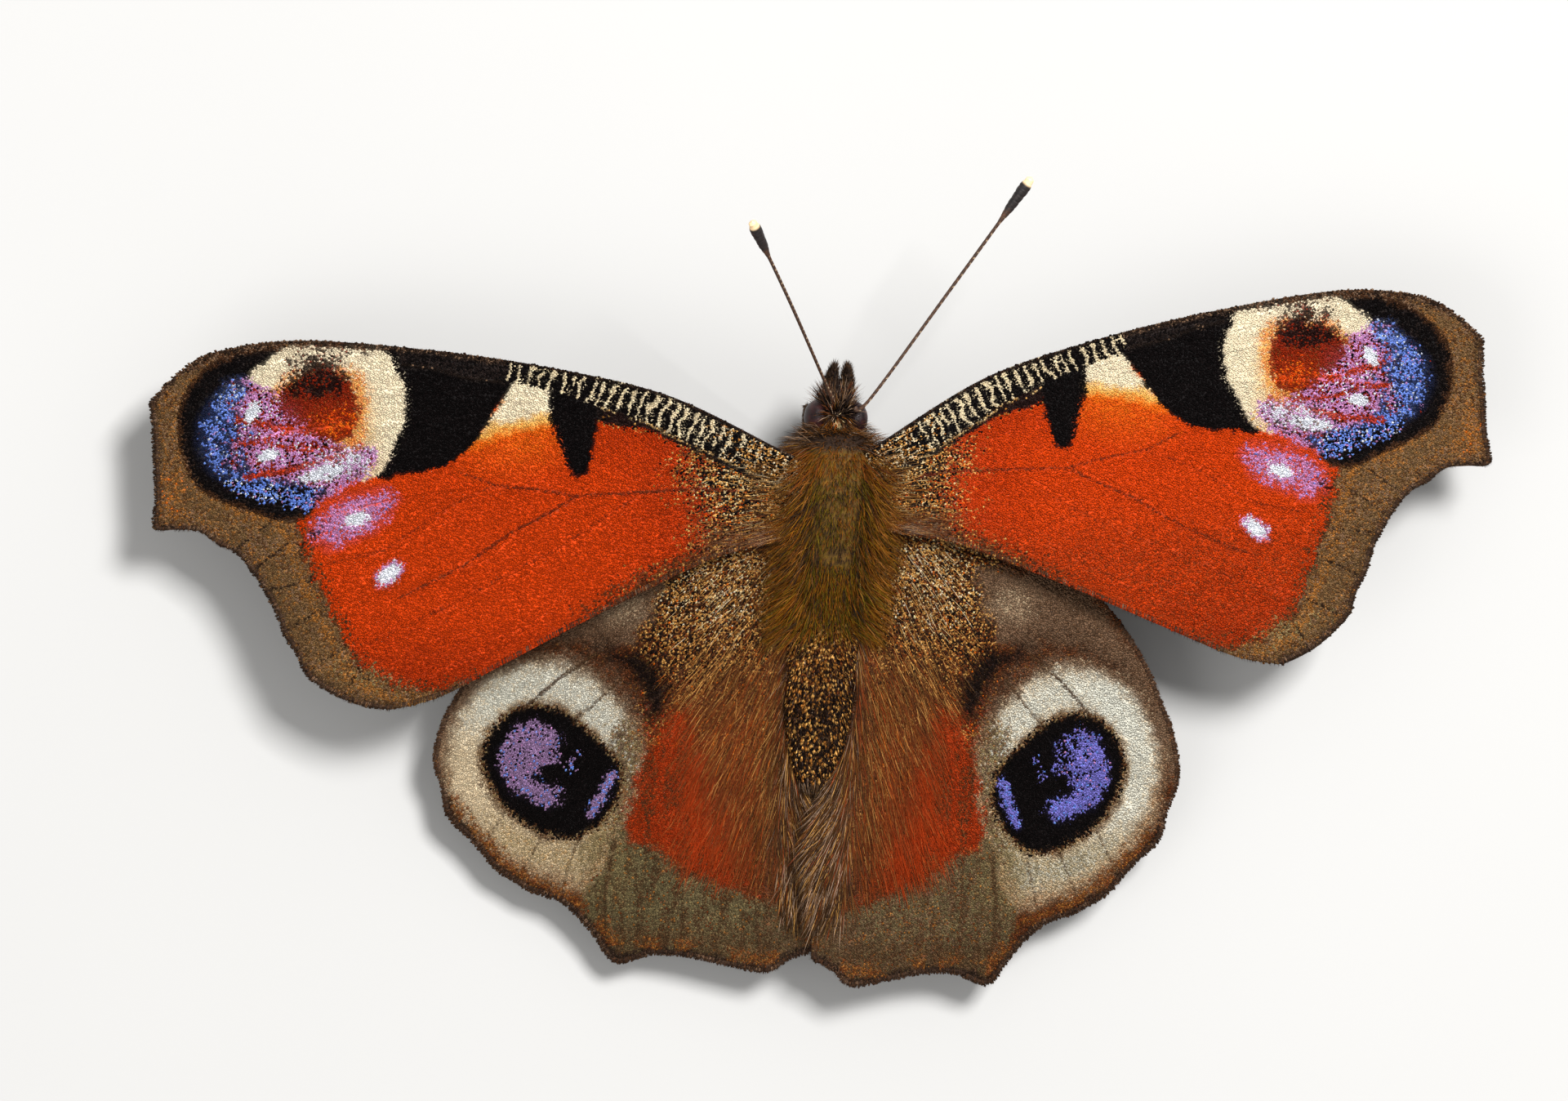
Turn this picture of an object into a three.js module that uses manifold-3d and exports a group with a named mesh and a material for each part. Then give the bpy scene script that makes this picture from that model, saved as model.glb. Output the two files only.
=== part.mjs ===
// Peacock butterfly at rest with its wings spread flat, at life size, in millimetres.
// +Z is up, the head points along -Y and the animal's left side is +X.
import * as THREE from "three";
import { mergeVertices } from "three/addons/utils/BufferGeometryUtils.js";
import Module from "manifold-3d";

// Driving dimensions
const CUT = 0.15; // width of the thin cuts that part the body
const WING_THICKNESS = 0.5;
const WING_GAP = 0.2; // between a wing root and the body
const FOREWING_HINGE_HEIGHT = 7.6;
const HINDWING_HINGE_HEIGHT = 6.7;
const BODY_SIDES = 18;
const LIMB_SIDES = 8;
const FOOT_RADIUS = 0.3;
const FOOT_SINK = 0.1; // how much of the round foot is cut away by the floor plane

// Forewing plan, seen from above at the mean sweep: x runs outwards, y towards the tail.
const FOREWING = {
  hinge: 2.3,
  droop: 5, // degrees below level, outwards
  bend: 0.0007,
  sweepSteps: 14,
  root: [[1.2, -2.9], [1.3, -1.2], [1.4, 0.5]],
  costa: [[1.2, -2.9], [2.4, -3.55], [7.55, -6.34], [13.2, -7.95], [18.95, -9.05], [24.8, -9.73],
    [28.65, -9.36], [30.4, -8.46], [31.8, -7.13]],
  inner: [[1.4, 0.5], [3.5, 0.9], [5.8, 1.43], [9.1, 2.8], [12.4, 4.29], [15.65, 5.84], [18.9, 7.34],
    [21.25, 7.85]],
  // vein ends on the outer margin, from the apex round the hook to the rear corner
  veinEnds: [[31.8, -7.13], [31.72, -4.1], [31.85, -1.22], [29.75, -0.96], [28.0, 0.2], [26.65, 2.0],
    [25.8, 3.95], [24.85, 5.85], [23.1, 7.2], [21.25, 7.85]],
  scallop: [0.06, 0.05, 0.0, -0.08, 0.06, 0.09, 0.1, -0.08, -0.06],
};

// Hindwing plan, in the same way.
const HINDWING = {
  hinge: 2.2,
  droop: 6,
  bend: 0.0012,
  sweepSteps: 14,
  root: [[1.0, 0.9], [0.9, 2.7], [0.8, 4.6]],
  costa: [[1.0, 0.9], [2.8, 0.7], [5.5, -0.1], [8.5, 0.5], [11.0, 1.6], [13.0, 3.0], [14.6, 4.55]],
  inner: [[0.8, 4.6], [1.5, 7.2], [1.4, 9.6], [0.95, 11.8], [0.35, 13.6], [0.1, 15.4], [0.1, 18.0],
    [0.1, 20.7]],
  veinEnds: [[14.6, 4.55], [16.75, 7.9], [17.97, 11.7], [17.2, 14.6], [14.75, 17.2], [11.6, 18.75],
    [9.0, 21.65], [5.6, 21.25], [2.05, 21.9], [0.1, 20.7]],
  scallop: [-0.15, -0.25, 0.05, 0.05, -0.2, 0.12, 0.25, -0.05, 0.1],
};

// How each wing is carried: side +1 is the animal's left. The hollow sets back the outer margin,
// most of all halfway between two vein ends: [depth, first end, last end].
const WINGS = [
  { name: "forewing_left", plan: FOREWING, side: 1, height: FOREWING_HINGE_HEIGHT, sweep: 4.85, pitch: 0,
    stretch: [1, 1], lead: 0, hollow: [-0.3, 4, 9] },
  { name: "forewing_right", plan: FOREWING, side: -1, height: FOREWING_HINGE_HEIGHT, sweep: -4.85, pitch: 0,
    stretch: [1.014, 1.01], lead: 0.15, hollow: [0.45, 2, 9.5] },
  { name: "hindwing_left", plan: HINDWING, side: 1, height: HINDWING_HINGE_HEIGHT, sweep: 0, pitch: 9.5,
    stretch: [1.01, 0.955], lead: 0, hollow: [0, 0, 1] },
  { name: "hindwing_right", plan: HINDWING, side: -1, height: HINDWING_HINGE_HEIGHT, sweep: 0, pitch: 7.5,
    stretch: [0.985, 1.025], lead: 0, hollow: [0, 0, 1] },
];
const TIP_CROWDING = 1.3; // draws the rows of points closer together towards the wing tip
const STRETCH_CENTRE_Y = { forewing: 0, hindwing: 15 };
const SEAM_BEND = -0.3; // sideways bend of the line where the hindwings meet
const SEAM_START_Y = 12;
const SEAM_END_Y = 20;
const SEAM_REACH = 4;

// Trunk and abdomen, with their coat: [y, centre x, centre z, half width, height above, depth below]
const TRUNK = [
  [-4.5, -0.15, 6.1, 1.55, 1.3, 1.6],
  [-3.9, -0.12, 6.2, 2.0, 1.75, 1.9],
  [-3.0, -0.1, 6.2, 2.45, 2.2, 2.4],
  [-1.5, -0.1, 6.2, 2.72, 2.5, 2.7],
  [0.0, -0.08, 6.15, 2.72, 2.5, 2.75],
  [1.5, -0.05, 6.05, 2.62, 2.35, 2.65],
  [3.0, 0.0, 5.9, 2.4, 2.0, 2.3],
  [4.2, 0.04, 5.75, 2.15, 1.75, 2.0],
  [5.2, 0.08, 5.65, 1.95, 1.6, 1.8],
  [6.5, 0.13, 5.55, 1.85, 1.5, 1.75],
  [8.0, 0.16, 5.4, 1.8, 1.45, 1.7],
  [9.5, 0.18, 5.2, 1.65, 1.35, 1.6],
  [11.0, 0.19, 4.95, 1.35, 1.1, 1.3],
  [12.2, 0.19, 4.7, 0.9, 0.75, 0.85],
  [12.9, 0.18, 4.55, 0.3, 0.3, 0.3],
];
const SEGMENTS = [
  { name: "prothorax", from: -4.5, to: -3.75, rings: 4, colour: 0x5a3c1a },
  { name: "mesothorax", from: -3.6, to: 2.85, rings: 11, colour: 0x6a4416 },
  { name: "metathorax", from: 3.0, to: 5.0, rings: 5, colour: 0x6a4416 },
  { name: "abdomen", from: 5.15, to: 12.9, rings: 12, colour: 0x4a3418 },
];

const HEAD = { x: -0.05, y: -5.15, z: 5.85, halfWidth: 1.2, halfLength: 1.0, halfHeight: 1.3 };
const EYE = { x: 0.92, y: -4.98, z: 5.95, radii: [0.66, 0.84, 0.95] };
const PALP = { x: -0.24, radius: 0.3, from: [0.36, -6.2, 5.2], to: [0.34, -7.62, 5.7] };
const PROBOSCIS = { x: -0.15, y: -5.7, z: 3.5, turns: 1.5, phase: 0.5, inner: 0.28, pitch: 0.5, radius: 0.19,
  steps: 22 };
const FEELER = { radius: 0.26, clubRadius: 0.42, clubLength: 2.3 };
const FEELER_PATHS = {
  left: [[0.22, -5.75, 6.95], [0.88, -6.75, 8.15], [3.2, -10.2, 12.7], [5.6, -13.65, 16.9]],
  right: [[-0.75, -5.45, 7.0], [-1.45, -5.9, 7.45], [-4.6, -10.9, 9.6], [-8.1, -16.5, 11.9]],
};

// Walking legs, on the animal's left: joints from the body to the foot's end.
const WALKING_LEGS = {
  middle: { coxa: [1.15, -0.7, 3.35], hip: [1.9, -1.1, 2.75], knee: [5.0, -2.9, 4.3], ankle: [7.0, -4.2, 0.85],
    toe: [9.9, -6.1, 0.2] },
  hind: { coxa: [1.0, 2.3, 3.35], hip: [1.75, 2.6, 2.75], knee: [4.6, 5.2, 4.0], ankle: [6.0, 8.4, 0.8],
    toe: [7.1, 11.6, 0.2] },
};
const LIMB = { coxa: 0.46, femur: 0.42, tibia: 0.32 };
const FORELEG = { femur: [[0.85, -3.9, 3.45], [1.0, -5.35, 3.55]], tibia: [[1.0, -5.45, 2.95], [0.9, -3.9, 2.65]],
  radius: 0.28 };

const COLOURS = { forewing: 0xb5360f, hindwing: 0x6b3a1c, head: 0x2a1c12, eye: 0x24101a, palp: 0x1f1712,
  proboscis: 0x3a2412, feeler: 0x2c1a10, club: 0x1b120c, leg: 0x3b2c1c };

const wasm = await Module();
wasm.setup();

/** Closed surface from rows of points; the rows are closed rings and end in a point or a flat. */
function loftRings(rings) {
  const sides = rings[0].length;
  const positions = rings.flat(2);
  const index = [];
  const first = rings.length * sides;
  for (const ring of [rings[0], rings[rings.length - 1]]) {
    const middle = [0, 1, 2].map((axis) => ring.reduce((sum, point) => sum + point[axis], 0) / sides);
    positions.push(...middle);
  }
  for (let row = 0; row < rings.length - 1; row += 1) {
    for (let side = 0; side < sides; side += 1) {
      const next = (side + 1) % sides;
      const a = row * sides + side;
      const b = row * sides + next;
      index.push(a, b, b + sides, a, b + sides, a + sides);
    }
  }
  for (let side = 0; side < sides; side += 1) {
    const next = (side + 1) % sides;
    const last = (rings.length - 1) * sides;
    index.push(first, next, side);
    index.push(first + 1, last + side, last + next);
  }
  return indexedGeometry(positions, index);
}

/** Indexed geometry whose faces point outwards. */
function indexedGeometry(positions, index) {
  const geometry = new THREE.BufferGeometry();
  geometry.setAttribute("position", new THREE.Float32BufferAttribute(positions, 3));
  geometry.setIndex(index);
  return signedVolume(geometry) < 0 ? flipped(geometry) : geometry;
}

function signedVolume(geometry) {
  const position = geometry.attributes.position;
  const [a, b, c] = [new THREE.Vector3(), new THREE.Vector3(), new THREE.Vector3()];
  let total = 0;
  for (let corner = 0; corner < geometry.index.count; corner += 3) {
    a.fromBufferAttribute(position, geometry.index.getX(corner));
    b.fromBufferAttribute(position, geometry.index.getX(corner + 1));
    c.fromBufferAttribute(position, geometry.index.getX(corner + 2));
    total += a.dot(b.cross(c)) / 6;
  }
  return total;
}

function flipped(geometry) {
  const index = Array.from(geometry.index.array);
  for (let corner = 0; corner < index.length; corner += 3) {
    [index[corner + 1], index[corner + 2]] = [index[corner + 2], index[corner + 1]];
  }
  geometry.setIndex(index);
  return geometry;
}

/** Three.js shape with its doubled corner points joined. */
function welded(geometry) {
  geometry.deleteAttribute("normal");
  geometry.deleteAttribute("uv");
  return mergeVertices(geometry, 1e-5);
}

function toSolid(geometry) {
  return new wasm.Manifold(new wasm.Mesh({
    numProp: 3,
    vertProperties: new Float32Array(geometry.attributes.position.array),
    triVerts: new Uint32Array(geometry.index.array),
  }));
}

/** The largest piece of a solid, as geometry. */
function toGeometry(solid) {
  const pieces = solid.decompose();
  pieces.sort((a, b) => b.volume() - a.volume());
  const mesh = pieces[0].getMesh();
  return indexedGeometry(Array.from(mesh.vertProperties), Array.from(mesh.triVerts));
}

function ellipsoid(centre, radii, columns, rows) {
  const geometry = welded(new THREE.SphereGeometry(1, columns, rows));
  return geometry.scale(...radii).translate(...centre);
}

/** Cross-section of the trunk at y, grown by a margin, read off the smoothed table. */
function trunkSection(y, grow) {
  const curves = [1, 2, 3, 4, 5].map((column) => (
    new THREE.SplineCurve(TRUNK.map((row) => new THREE.Vector2(row[0], row[column])))
  ));
  const last = TRUNK.length - 1;
  let span = TRUNK.findIndex((row) => row[0] > y) - 1;
  if (span < 0) span = y <= TRUNK[0][0] ? 0 : last - 1;
  const within = (y - TRUNK[span][0]) / (TRUNK[span + 1][0] - TRUNK[span][0]);
  const place = (span + THREE.MathUtils.clamp(within, 0, 1)) / last;
  const [x, z, half, above, below] = curves.map((curve) => curve.getPoint(place).y);
  return { x, z, half: half + grow, above: above + grow, below: below + grow };
}

function trunkRing(y, grow) {
  const section = trunkSection(y, grow);
  return Array.from({ length: BODY_SIDES }, (_, side) => {
    const turn = (side / BODY_SIDES) * 2 * Math.PI;
    const rise = Math.sin(turn);
    const height = rise > 0 ? section.above : section.below;
    return [section.x + section.half * Math.cos(turn), y, section.z + height * rise];
  });
}

function trunkPiece(from, to, rings, grow = 0) {
  const rows = Array.from({ length: rings }, (_, row) => from + ((to - from) * row) / (rings - 1));
  return loftRings(rows.map((y) => trunkRing(y, grow)));
}

const pairs = (points) => points.map(([x, y]) => new THREE.Vector2(x, y));

/** Vein ends on the outer margin, set back by the wing's hollow. */
function veinEnds(plan, hollow) {
  const ends = pairs(plan.veinEnds);
  const [depth, first, last] = hollow;
  const chord = ends[Math.floor(last)].clone().sub(ends[first]).normalize();
  const inwards = new THREE.Vector2(-chord.y, chord.x);
  return ends.map((end, number) => {
    const place = THREE.MathUtils.clamp((number - first) / (last - first), 0, 1);
    return end.addScaledVector(inwards, depth * Math.sin(Math.PI * place));
  });
}

/** Outer margin through the vein ends, with a scallop between each two. */
function marginLine(plan, hollow) {
  const ends = veinEnds(plan, hollow);
  return ends.flatMap((end, number) => {
    const next = ends[number + 1];
    if (!next) return [end];
    const along = next.clone().sub(end);
    const inwards = new THREE.Vector2(-along.y, along.x).normalize();
    const middle = end.clone().addScaledVector(along, 0.5);
    return [end, middle.addScaledVector(inwards, plan.scallop[number])];
  });
}

/** Points along a smooth edge, from the root to the tip. */
function edgePoints(points, steps) {
  const edge = new THREE.SplineCurve(pairs(points));
  return Array.from({ length: steps + 1 }, (_, step) => edge.getPointAt(1 - (1 - step / steps) ** TIP_CROWDING));
}

/** Grid of plan points filling a wing between its four edges. */
function wingGrid(plan, hollow) {
  const margin = marginLine(plan, hollow);
  const costa = edgePoints(plan.costa, plan.sweepSteps);
  const inner = edgePoints(plan.inner, plan.sweepSteps);
  const root = new THREE.SplineCurve(pairs(plan.root)).getSpacedPoints(margin.length - 1);
  return costa.map((front, i) => margin.map((outer, j) => {
    const u = i / plan.sweepSteps;
    const v = j / (margin.length - 1);
    const point = new THREE.Vector2();
    point.addScaledVector(front, 1 - v).addScaledVector(inner[i], v);
    point.addScaledVector(root[j], 1 - u).addScaledVector(outer, u);
    point.addScaledVector(costa[0], -(1 - u) * (1 - v)).addScaledVector(inner[0], -(1 - u) * v);
    point.addScaledVector(margin[0], -u * (1 - v)).addScaledVector(margin[margin.length - 1], -u * v);
    return point;
  }));
}

/** Puts a plan point of a wing where the animal carries it. */
function carried(wing, point) {
  const { plan, side } = wing;
  const isHind = plan === HINDWING;
  const centre = isHind ? STRETCH_CENTRE_Y.hindwing : STRETCH_CENTRE_Y.forewing;
  const out = point.x - plan.hinge;
  const drop = out * Math.tan(THREE.MathUtils.degToRad(plan.droop)) + plan.bend * point.distanceToSquared(
    new THREE.Vector2(plan.hinge, 0),
  );
  const flat = new THREE.Vector2(point.x * wing.stretch[0], centre + (point.y - centre) * wing.stretch[1]);
  flat.y -= wing.lead;
  flat.rotateAround(new THREE.Vector2(0, 0), THREE.MathUtils.degToRad(wing.sweep));
  const tilt = Math.tan(THREE.MathUtils.degToRad(wing.pitch)) * (flat.y - 1);
  const seam = SEAM_BEND * THREE.MathUtils.smoothstep(flat.y, SEAM_START_Y, SEAM_END_Y);
  const shift = isHind ? seam * Math.exp(-Math.max(point.x, 0) / SEAM_REACH) : 0;
  return [side * flat.x + shift, flat.y, wing.height - drop - tilt];
}

/** A wing as a slab of even thickness, cut clear of the body. */
function wingGeometry(wing, body) {
  const grid = wingGrid(wing.plan, wing.hollow);
  const columns = grid[0].length;
  const upper = grid.flat().map((point) => carried(wing, point));
  const lower = upper.map(([x, y, z]) => [x, y, z - WING_THICKNESS]);
  const index = [];
  const count = upper.length;
  const at = (i, j) => i * columns + j;
  for (let i = 0; i < grid.length - 1; i += 1) {
    for (let j = 0; j < columns - 1; j += 1) {
      const [a, b, c, d] = [at(i, j), at(i + 1, j), at(i + 1, j + 1), at(i, j + 1)];
      index.push(a, b, c, a, c, d);
      index.push(count + a, count + c, count + b, count + a, count + d, count + c);
    }
  }
  const rim = [];
  for (let i = 0; i < grid.length - 1; i += 1) rim.push(at(i, 0));
  for (let j = 0; j < columns - 1; j += 1) rim.push(at(grid.length - 1, j));
  for (let i = grid.length - 1; i > 0; i -= 1) rim.push(at(i, columns - 1));
  for (let j = columns - 1; j > 0; j -= 1) rim.push(at(0, j));
  rim.forEach((a, place) => {
    const b = rim[(place + 1) % rim.length];
    index.push(a, count + a, count + b, a, count + b, b);
  });
  const slab = indexedGeometry([...upper, ...lower].flat(), index);
  return toGeometry(toSolid(slab).subtract(body));
}

/** Straight rounded limb between two joints, thickest near its upper end. */
function limbGeometry(from, to, radius, slim = 0.75) {
  const start = new THREE.Vector3(...from);
  const end = new THREE.Vector3(...to);
  const length = start.distanceTo(end);
  const profile = [[0, 0], [0.55, 0.02], [1, 0.14], [0.95, 0.5], [slim, 0.9], [0.5 * slim, 0.985], [0, 1]];
  const outline = profile.map(([wide, along]) => new THREE.Vector2(wide * radius, along * length));
  const geometry = welded(new THREE.LatheGeometry(outline, LIMB_SIDES));
  const turn = new THREE.Quaternion().setFromUnitVectors(
    new THREE.Vector3(0, 1, 0),
    end.clone().sub(start).normalize(),
  );
  return geometry.applyQuaternion(turn).translate(...from);
}

/** Tube of changing radius along a smooth path. */
function tubeGeometry(points, radiusAt, steps, sides = LIMB_SIDES) {
  const curve = new THREE.CatmullRomCurve3(points.map((point) => new THREE.Vector3(...point)));
  const frames = curve.computeFrenetFrames(steps, false);
  const rings = Array.from({ length: steps + 1 }, (_, step) => {
    const centre = curve.getPointAt(step / steps);
    const radius = radiusAt(step / steps);
    return Array.from({ length: sides }, (_unused, side) => {
      const turn = (side / sides) * 2 * Math.PI;
      const offset = frames.normals[step].clone().multiplyScalar(Math.cos(turn) * radius);
      offset.addScaledVector(frames.binormals[step], Math.sin(turn) * radius);
      return offset.add(centre).toArray();
    });
  });
  return loftRings(rings);
}

/** Foot lying on the floor, its underside cut flat at z = 0. */
function footGeometry(ankle, toe) {
  const rest = FOOT_RADIUS - FOOT_SINK;
  const heel = new THREE.Vector3(...ankle).lerp(new THREE.Vector3(...toe), 0.1);
  const path = [[heel.x, heel.y, rest], [...toe.slice(0, 2), rest]];
  const middle = path[0].map((value, axis) => (value + path[1][axis]) / 2);
  const foot = tubeGeometry([path[0], middle, path[1]], () => FOOT_RADIUS, 4);
  const reach = 40;
  const floor = welded(new THREE.BoxGeometry(reach * 2, reach * 2, reach)).translate(0, 0, -reach / 2);
  return toGeometry(toSolid(foot).subtract(toSolid(floor)));
}

/** Point a given distance from a towards b. */
function towards(a, b, distance) {
  const start = new THREE.Vector3(...a);
  const way = new THREE.Vector3(...b).sub(start).normalize();
  return start.addScaledVector(way, distance).toArray();
}

const mirrored = (point, side) => [point[0] * side, point[1], point[2]];

function material(colour, roughness = 0.8) {
  return new THREE.MeshStandardMaterial({ color: colour, roughness, metalness: 0 });
}

const butterfly = new THREE.Group();
butterfly.name = "peacock_butterfly";

function addPiece(name, geometry, colour, roughness) {
  const mesh = new THREE.Mesh(geometry, material(colour, roughness));
  mesh.name = name;
  butterfly.add(mesh);
}

function addTrunk() {
  for (const { name, from, to, rings, colour } of SEGMENTS) {
    addPiece(name, trunkPiece(from, to, rings), colour);
  }
}

function addWings() {
  const body = toSolid(trunkPiece(-4.5, 12.9, 26, WING_GAP));
  for (const wing of WINGS) {
    const colour = wing.plan === FOREWING ? COLOURS.forewing : COLOURS.hindwing;
    addPiece(wing.name, wingGeometry(wing, body), colour, 0.75);
  }
}

function addHead() {
  const { x, y, z, halfWidth, halfLength, halfHeight } = HEAD;
  const [columns, rows] = [18, 10];
  let head = toSolid(ellipsoid([x, y, z], [halfWidth, halfLength, halfHeight], columns, rows));
  head = head.subtract(toSolid(trunkPiece(-4.5, -3.0, 4, CUT)));
  for (const [name, side] of [["left", 1], ["right", -1]]) {
    const centre = [x + side * EYE.x, EYE.y, EYE.z];
    head = head.subtract(toSolid(ellipsoid(centre, EYE.radii.map((r) => r + CUT), 14, 9)));
    const eye = toSolid(ellipsoid(centre, EYE.radii, 14, 9));
    addPiece(`eye_${name}`, toGeometry(eye.subtract(toSolid(trunkPiece(-4.5, -3.0, 4, CUT)))), COLOURS.eye, 0.3);
  }
  addPiece("head", toGeometry(head), COLOURS.head);
  return head;
}

function addPalps() {
  for (const [name, side] of [["left", 1], ["right", -1]]) {
    const [from, to] = [PALP.from, PALP.to].map(([x, y, z]) => [PALP.x + side * x, y, z]);
    addPiece(`palp_${name}`, limbGeometry(from, to, PALP.radius, 0.7), COLOURS.palp);
  }
}

function addProboscis() {
  const { x, y, z, turns, phase, inner, pitch, radius, steps } = PROBOSCIS;
  const path = Array.from({ length: steps + 1 }, (_, step) => {
    const turn = (step / steps) * turns;
    const reach = inner + pitch * turn;
    const angle = (turn + phase) * 2 * Math.PI;
    return [x, y + reach * Math.sin(angle), z + reach * Math.cos(angle)];
  });
  addPiece("proboscis", tubeGeometry(path, () => radius, steps * 2, 6), COLOURS.proboscis, 0.5);
}

function addFeelers() {
  for (const [name, points] of Object.entries(FEELER_PATHS)) {
    const curve = new THREE.CatmullRomCurve3(points.map((point) => new THREE.Vector3(...point)));
    const length = curve.getLength();
    const split = 1 - FEELER.clubLength / length;
    const cut = CUT / length;
    const part = (from, to, count) => Array.from({ length: count + 1 }, (_, step) => (
      curve.getPointAt(from + ((to - from) * step) / count).toArray()
    ));
    addPiece(`antenna_shaft_${name}`, tubeGeometry(part(0, split - cut, 6), () => FEELER.radius, 12, 6),
      COLOURS.feeler);
    const swelling = (t) => FEELER.radius + (FEELER.clubRadius - FEELER.radius) * Math.sin(Math.PI * t ** 0.8);
    const club = (t) => (t > 0.95 ? FEELER.radius * 0.75 : swelling(t));
    addPiece(`antenna_club_${name}`, tubeGeometry(part(split, 1, 4), club, 8), COLOURS.club);
  }
}

function addLegs() {
  for (const [sideName, side] of [["left", 1], ["right", -1]]) {
    for (const [pair, leg] of Object.entries(WALKING_LEGS)) {
      const [coxa, hip, knee, ankle, toe] = [leg.coxa, leg.hip, leg.knee, leg.ankle, leg.toe]
        .map((point) => mirrored(point, side));
      const trunk = toSolid(trunkPiece(-4.5, 6, 14, CUT));
      const coxaSolid = toSolid(limbGeometry(coxa, towards(hip, coxa, CUT), LIMB.coxa));
      addPiece(`coxa_${pair}_${sideName}`, toGeometry(coxaSolid.subtract(trunk)), COLOURS.leg);
      addPiece(`femur_${pair}_${sideName}`, limbGeometry(hip, towards(knee, hip, CUT), LIMB.femur), COLOURS.leg);
      addPiece(`tibia_${pair}_${sideName}`, limbGeometry(knee, ankle, LIMB.tibia), COLOURS.leg);
      addPiece(`tarsus_${pair}_${sideName}`, footGeometry(ankle, toe), COLOURS.leg);
    }
    for (const bone of ["femur", "tibia"]) {
      const [from, to] = FORELEG[bone].map((point) => mirrored(point, side));
      addPiece(`${bone}_fore_${sideName}`, limbGeometry(from, to, FORELEG.radius), COLOURS.leg);
    }
  }
}

addTrunk();
addWings();
addHead();
addPalps();
addProboscis();
addFeelers();
addLegs();

// The origin is at the middle of the outline seen from above, on the floor.
const extent = new THREE.Box3().setFromObject(butterfly);
const middle = extent.getCenter(new THREE.Vector3());
butterfly.position.set(-middle.x, -middle.y, -extent.min.z);

export default butterfly;
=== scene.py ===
"""A peacock butterfly, life size, basking with its four wings spread.

Shapes are worked out in millimetres in the insect's own frame (+X its left,
+Y its rear, +Z up, the feet at 0) and are placed in metres at the end.
"""

from __future__ import annotations

import logging
import math
from dataclasses import dataclass, field
from enum import Enum
from functools import cached_property
from typing import Any, Callable, Sequence

import bmesh
import bpy
import numpy as np
from mathutils import Matrix, Vector

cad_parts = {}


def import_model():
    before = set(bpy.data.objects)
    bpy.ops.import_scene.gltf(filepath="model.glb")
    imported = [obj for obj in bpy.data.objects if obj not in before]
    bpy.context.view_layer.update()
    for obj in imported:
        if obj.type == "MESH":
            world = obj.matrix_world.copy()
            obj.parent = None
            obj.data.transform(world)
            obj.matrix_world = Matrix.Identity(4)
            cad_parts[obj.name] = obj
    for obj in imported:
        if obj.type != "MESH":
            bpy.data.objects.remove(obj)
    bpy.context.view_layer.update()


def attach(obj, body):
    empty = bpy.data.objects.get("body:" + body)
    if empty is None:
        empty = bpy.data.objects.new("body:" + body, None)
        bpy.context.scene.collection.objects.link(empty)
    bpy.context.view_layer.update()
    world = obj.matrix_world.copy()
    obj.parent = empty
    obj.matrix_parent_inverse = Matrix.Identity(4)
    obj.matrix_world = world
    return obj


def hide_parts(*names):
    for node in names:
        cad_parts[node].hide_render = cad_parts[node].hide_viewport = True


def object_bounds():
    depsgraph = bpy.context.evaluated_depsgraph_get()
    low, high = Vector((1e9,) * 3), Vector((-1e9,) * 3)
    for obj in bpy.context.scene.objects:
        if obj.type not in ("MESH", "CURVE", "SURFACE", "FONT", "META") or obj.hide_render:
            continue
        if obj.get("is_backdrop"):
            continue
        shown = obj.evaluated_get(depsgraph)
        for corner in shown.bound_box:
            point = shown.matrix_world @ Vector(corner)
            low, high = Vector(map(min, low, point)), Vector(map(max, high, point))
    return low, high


LOG = logging.getLogger("butterfly")

Array = np.ndarray
Point = tuple[float, float]
Spot = tuple[float, float, float]
Line = Sequence[Sequence[float]]
Chance = np.random.Generator
Piece = bpy.types.Object
Material = bpy.types.Material
Socket = bpy.types.NodeSocket

MM = 0.001  # metres in a millimetre
ORIGIN = np.array([-0.10528, -2.73051, 0.0])  # from the insect's frame to the model's
MAP_NAME, TINT_NAME = "OFBake", "pigment"
PATCH = 0.003  # width of a tuft's patch on the map
HASH_X, HASH_Y, HASH_SEED, HASH_MIX, HASH_MASK = (
    374761393, 668265263, 974711, 1274126177, 0x7FFFFFFF,
)
LOOP_STEPS = 6  # points from one of an outline's corners to the next
STAGGER = 0.866  # distance of staggered rows as a share of their step
NUDGE = 0.004  # share to either side over which a direction is measured


# ---- arithmetic


def placed(points: Array) -> Array:
    """Turns millimetres in the insect's frame into metres in the model's frame."""
    return (np.asarray(points, float) + ORIGIN) * MM


def linear(rgb: Sequence[float]) -> Array:
    """Turns a display colour of 0 to 255 into linear light."""
    c = np.asarray(rgb, float) / 255
    return np.where(c <= 0.04045, c / 12.92, ((c + 0.055) / 1.055) ** 2.4)


def ramp(x: Array, start: float, end: float) -> Array:
    """A smooth step from 0 at start to 1 at end."""
    t = np.clip((x - start) / (end - start), 0, 1)
    return t * t * (3 - 2 * t)


def unit(vectors: Array) -> Array:
    """Scales each row to length 1."""
    return vectors / np.maximum(np.linalg.norm(vectors, axis=-1, keepdims=True), 1e-9)


def rows_of(*columns: Array) -> Array:
    """Joins columns into rows."""
    return np.stack(columns, -1)


def turned(x: Array, y: Array, cos: Array, sin: Array) -> tuple[Array, Array]:
    """Turns plan directions by an angle, given its cosine and sine."""
    return x * cos - y * sin, x * sin + y * cos


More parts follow.
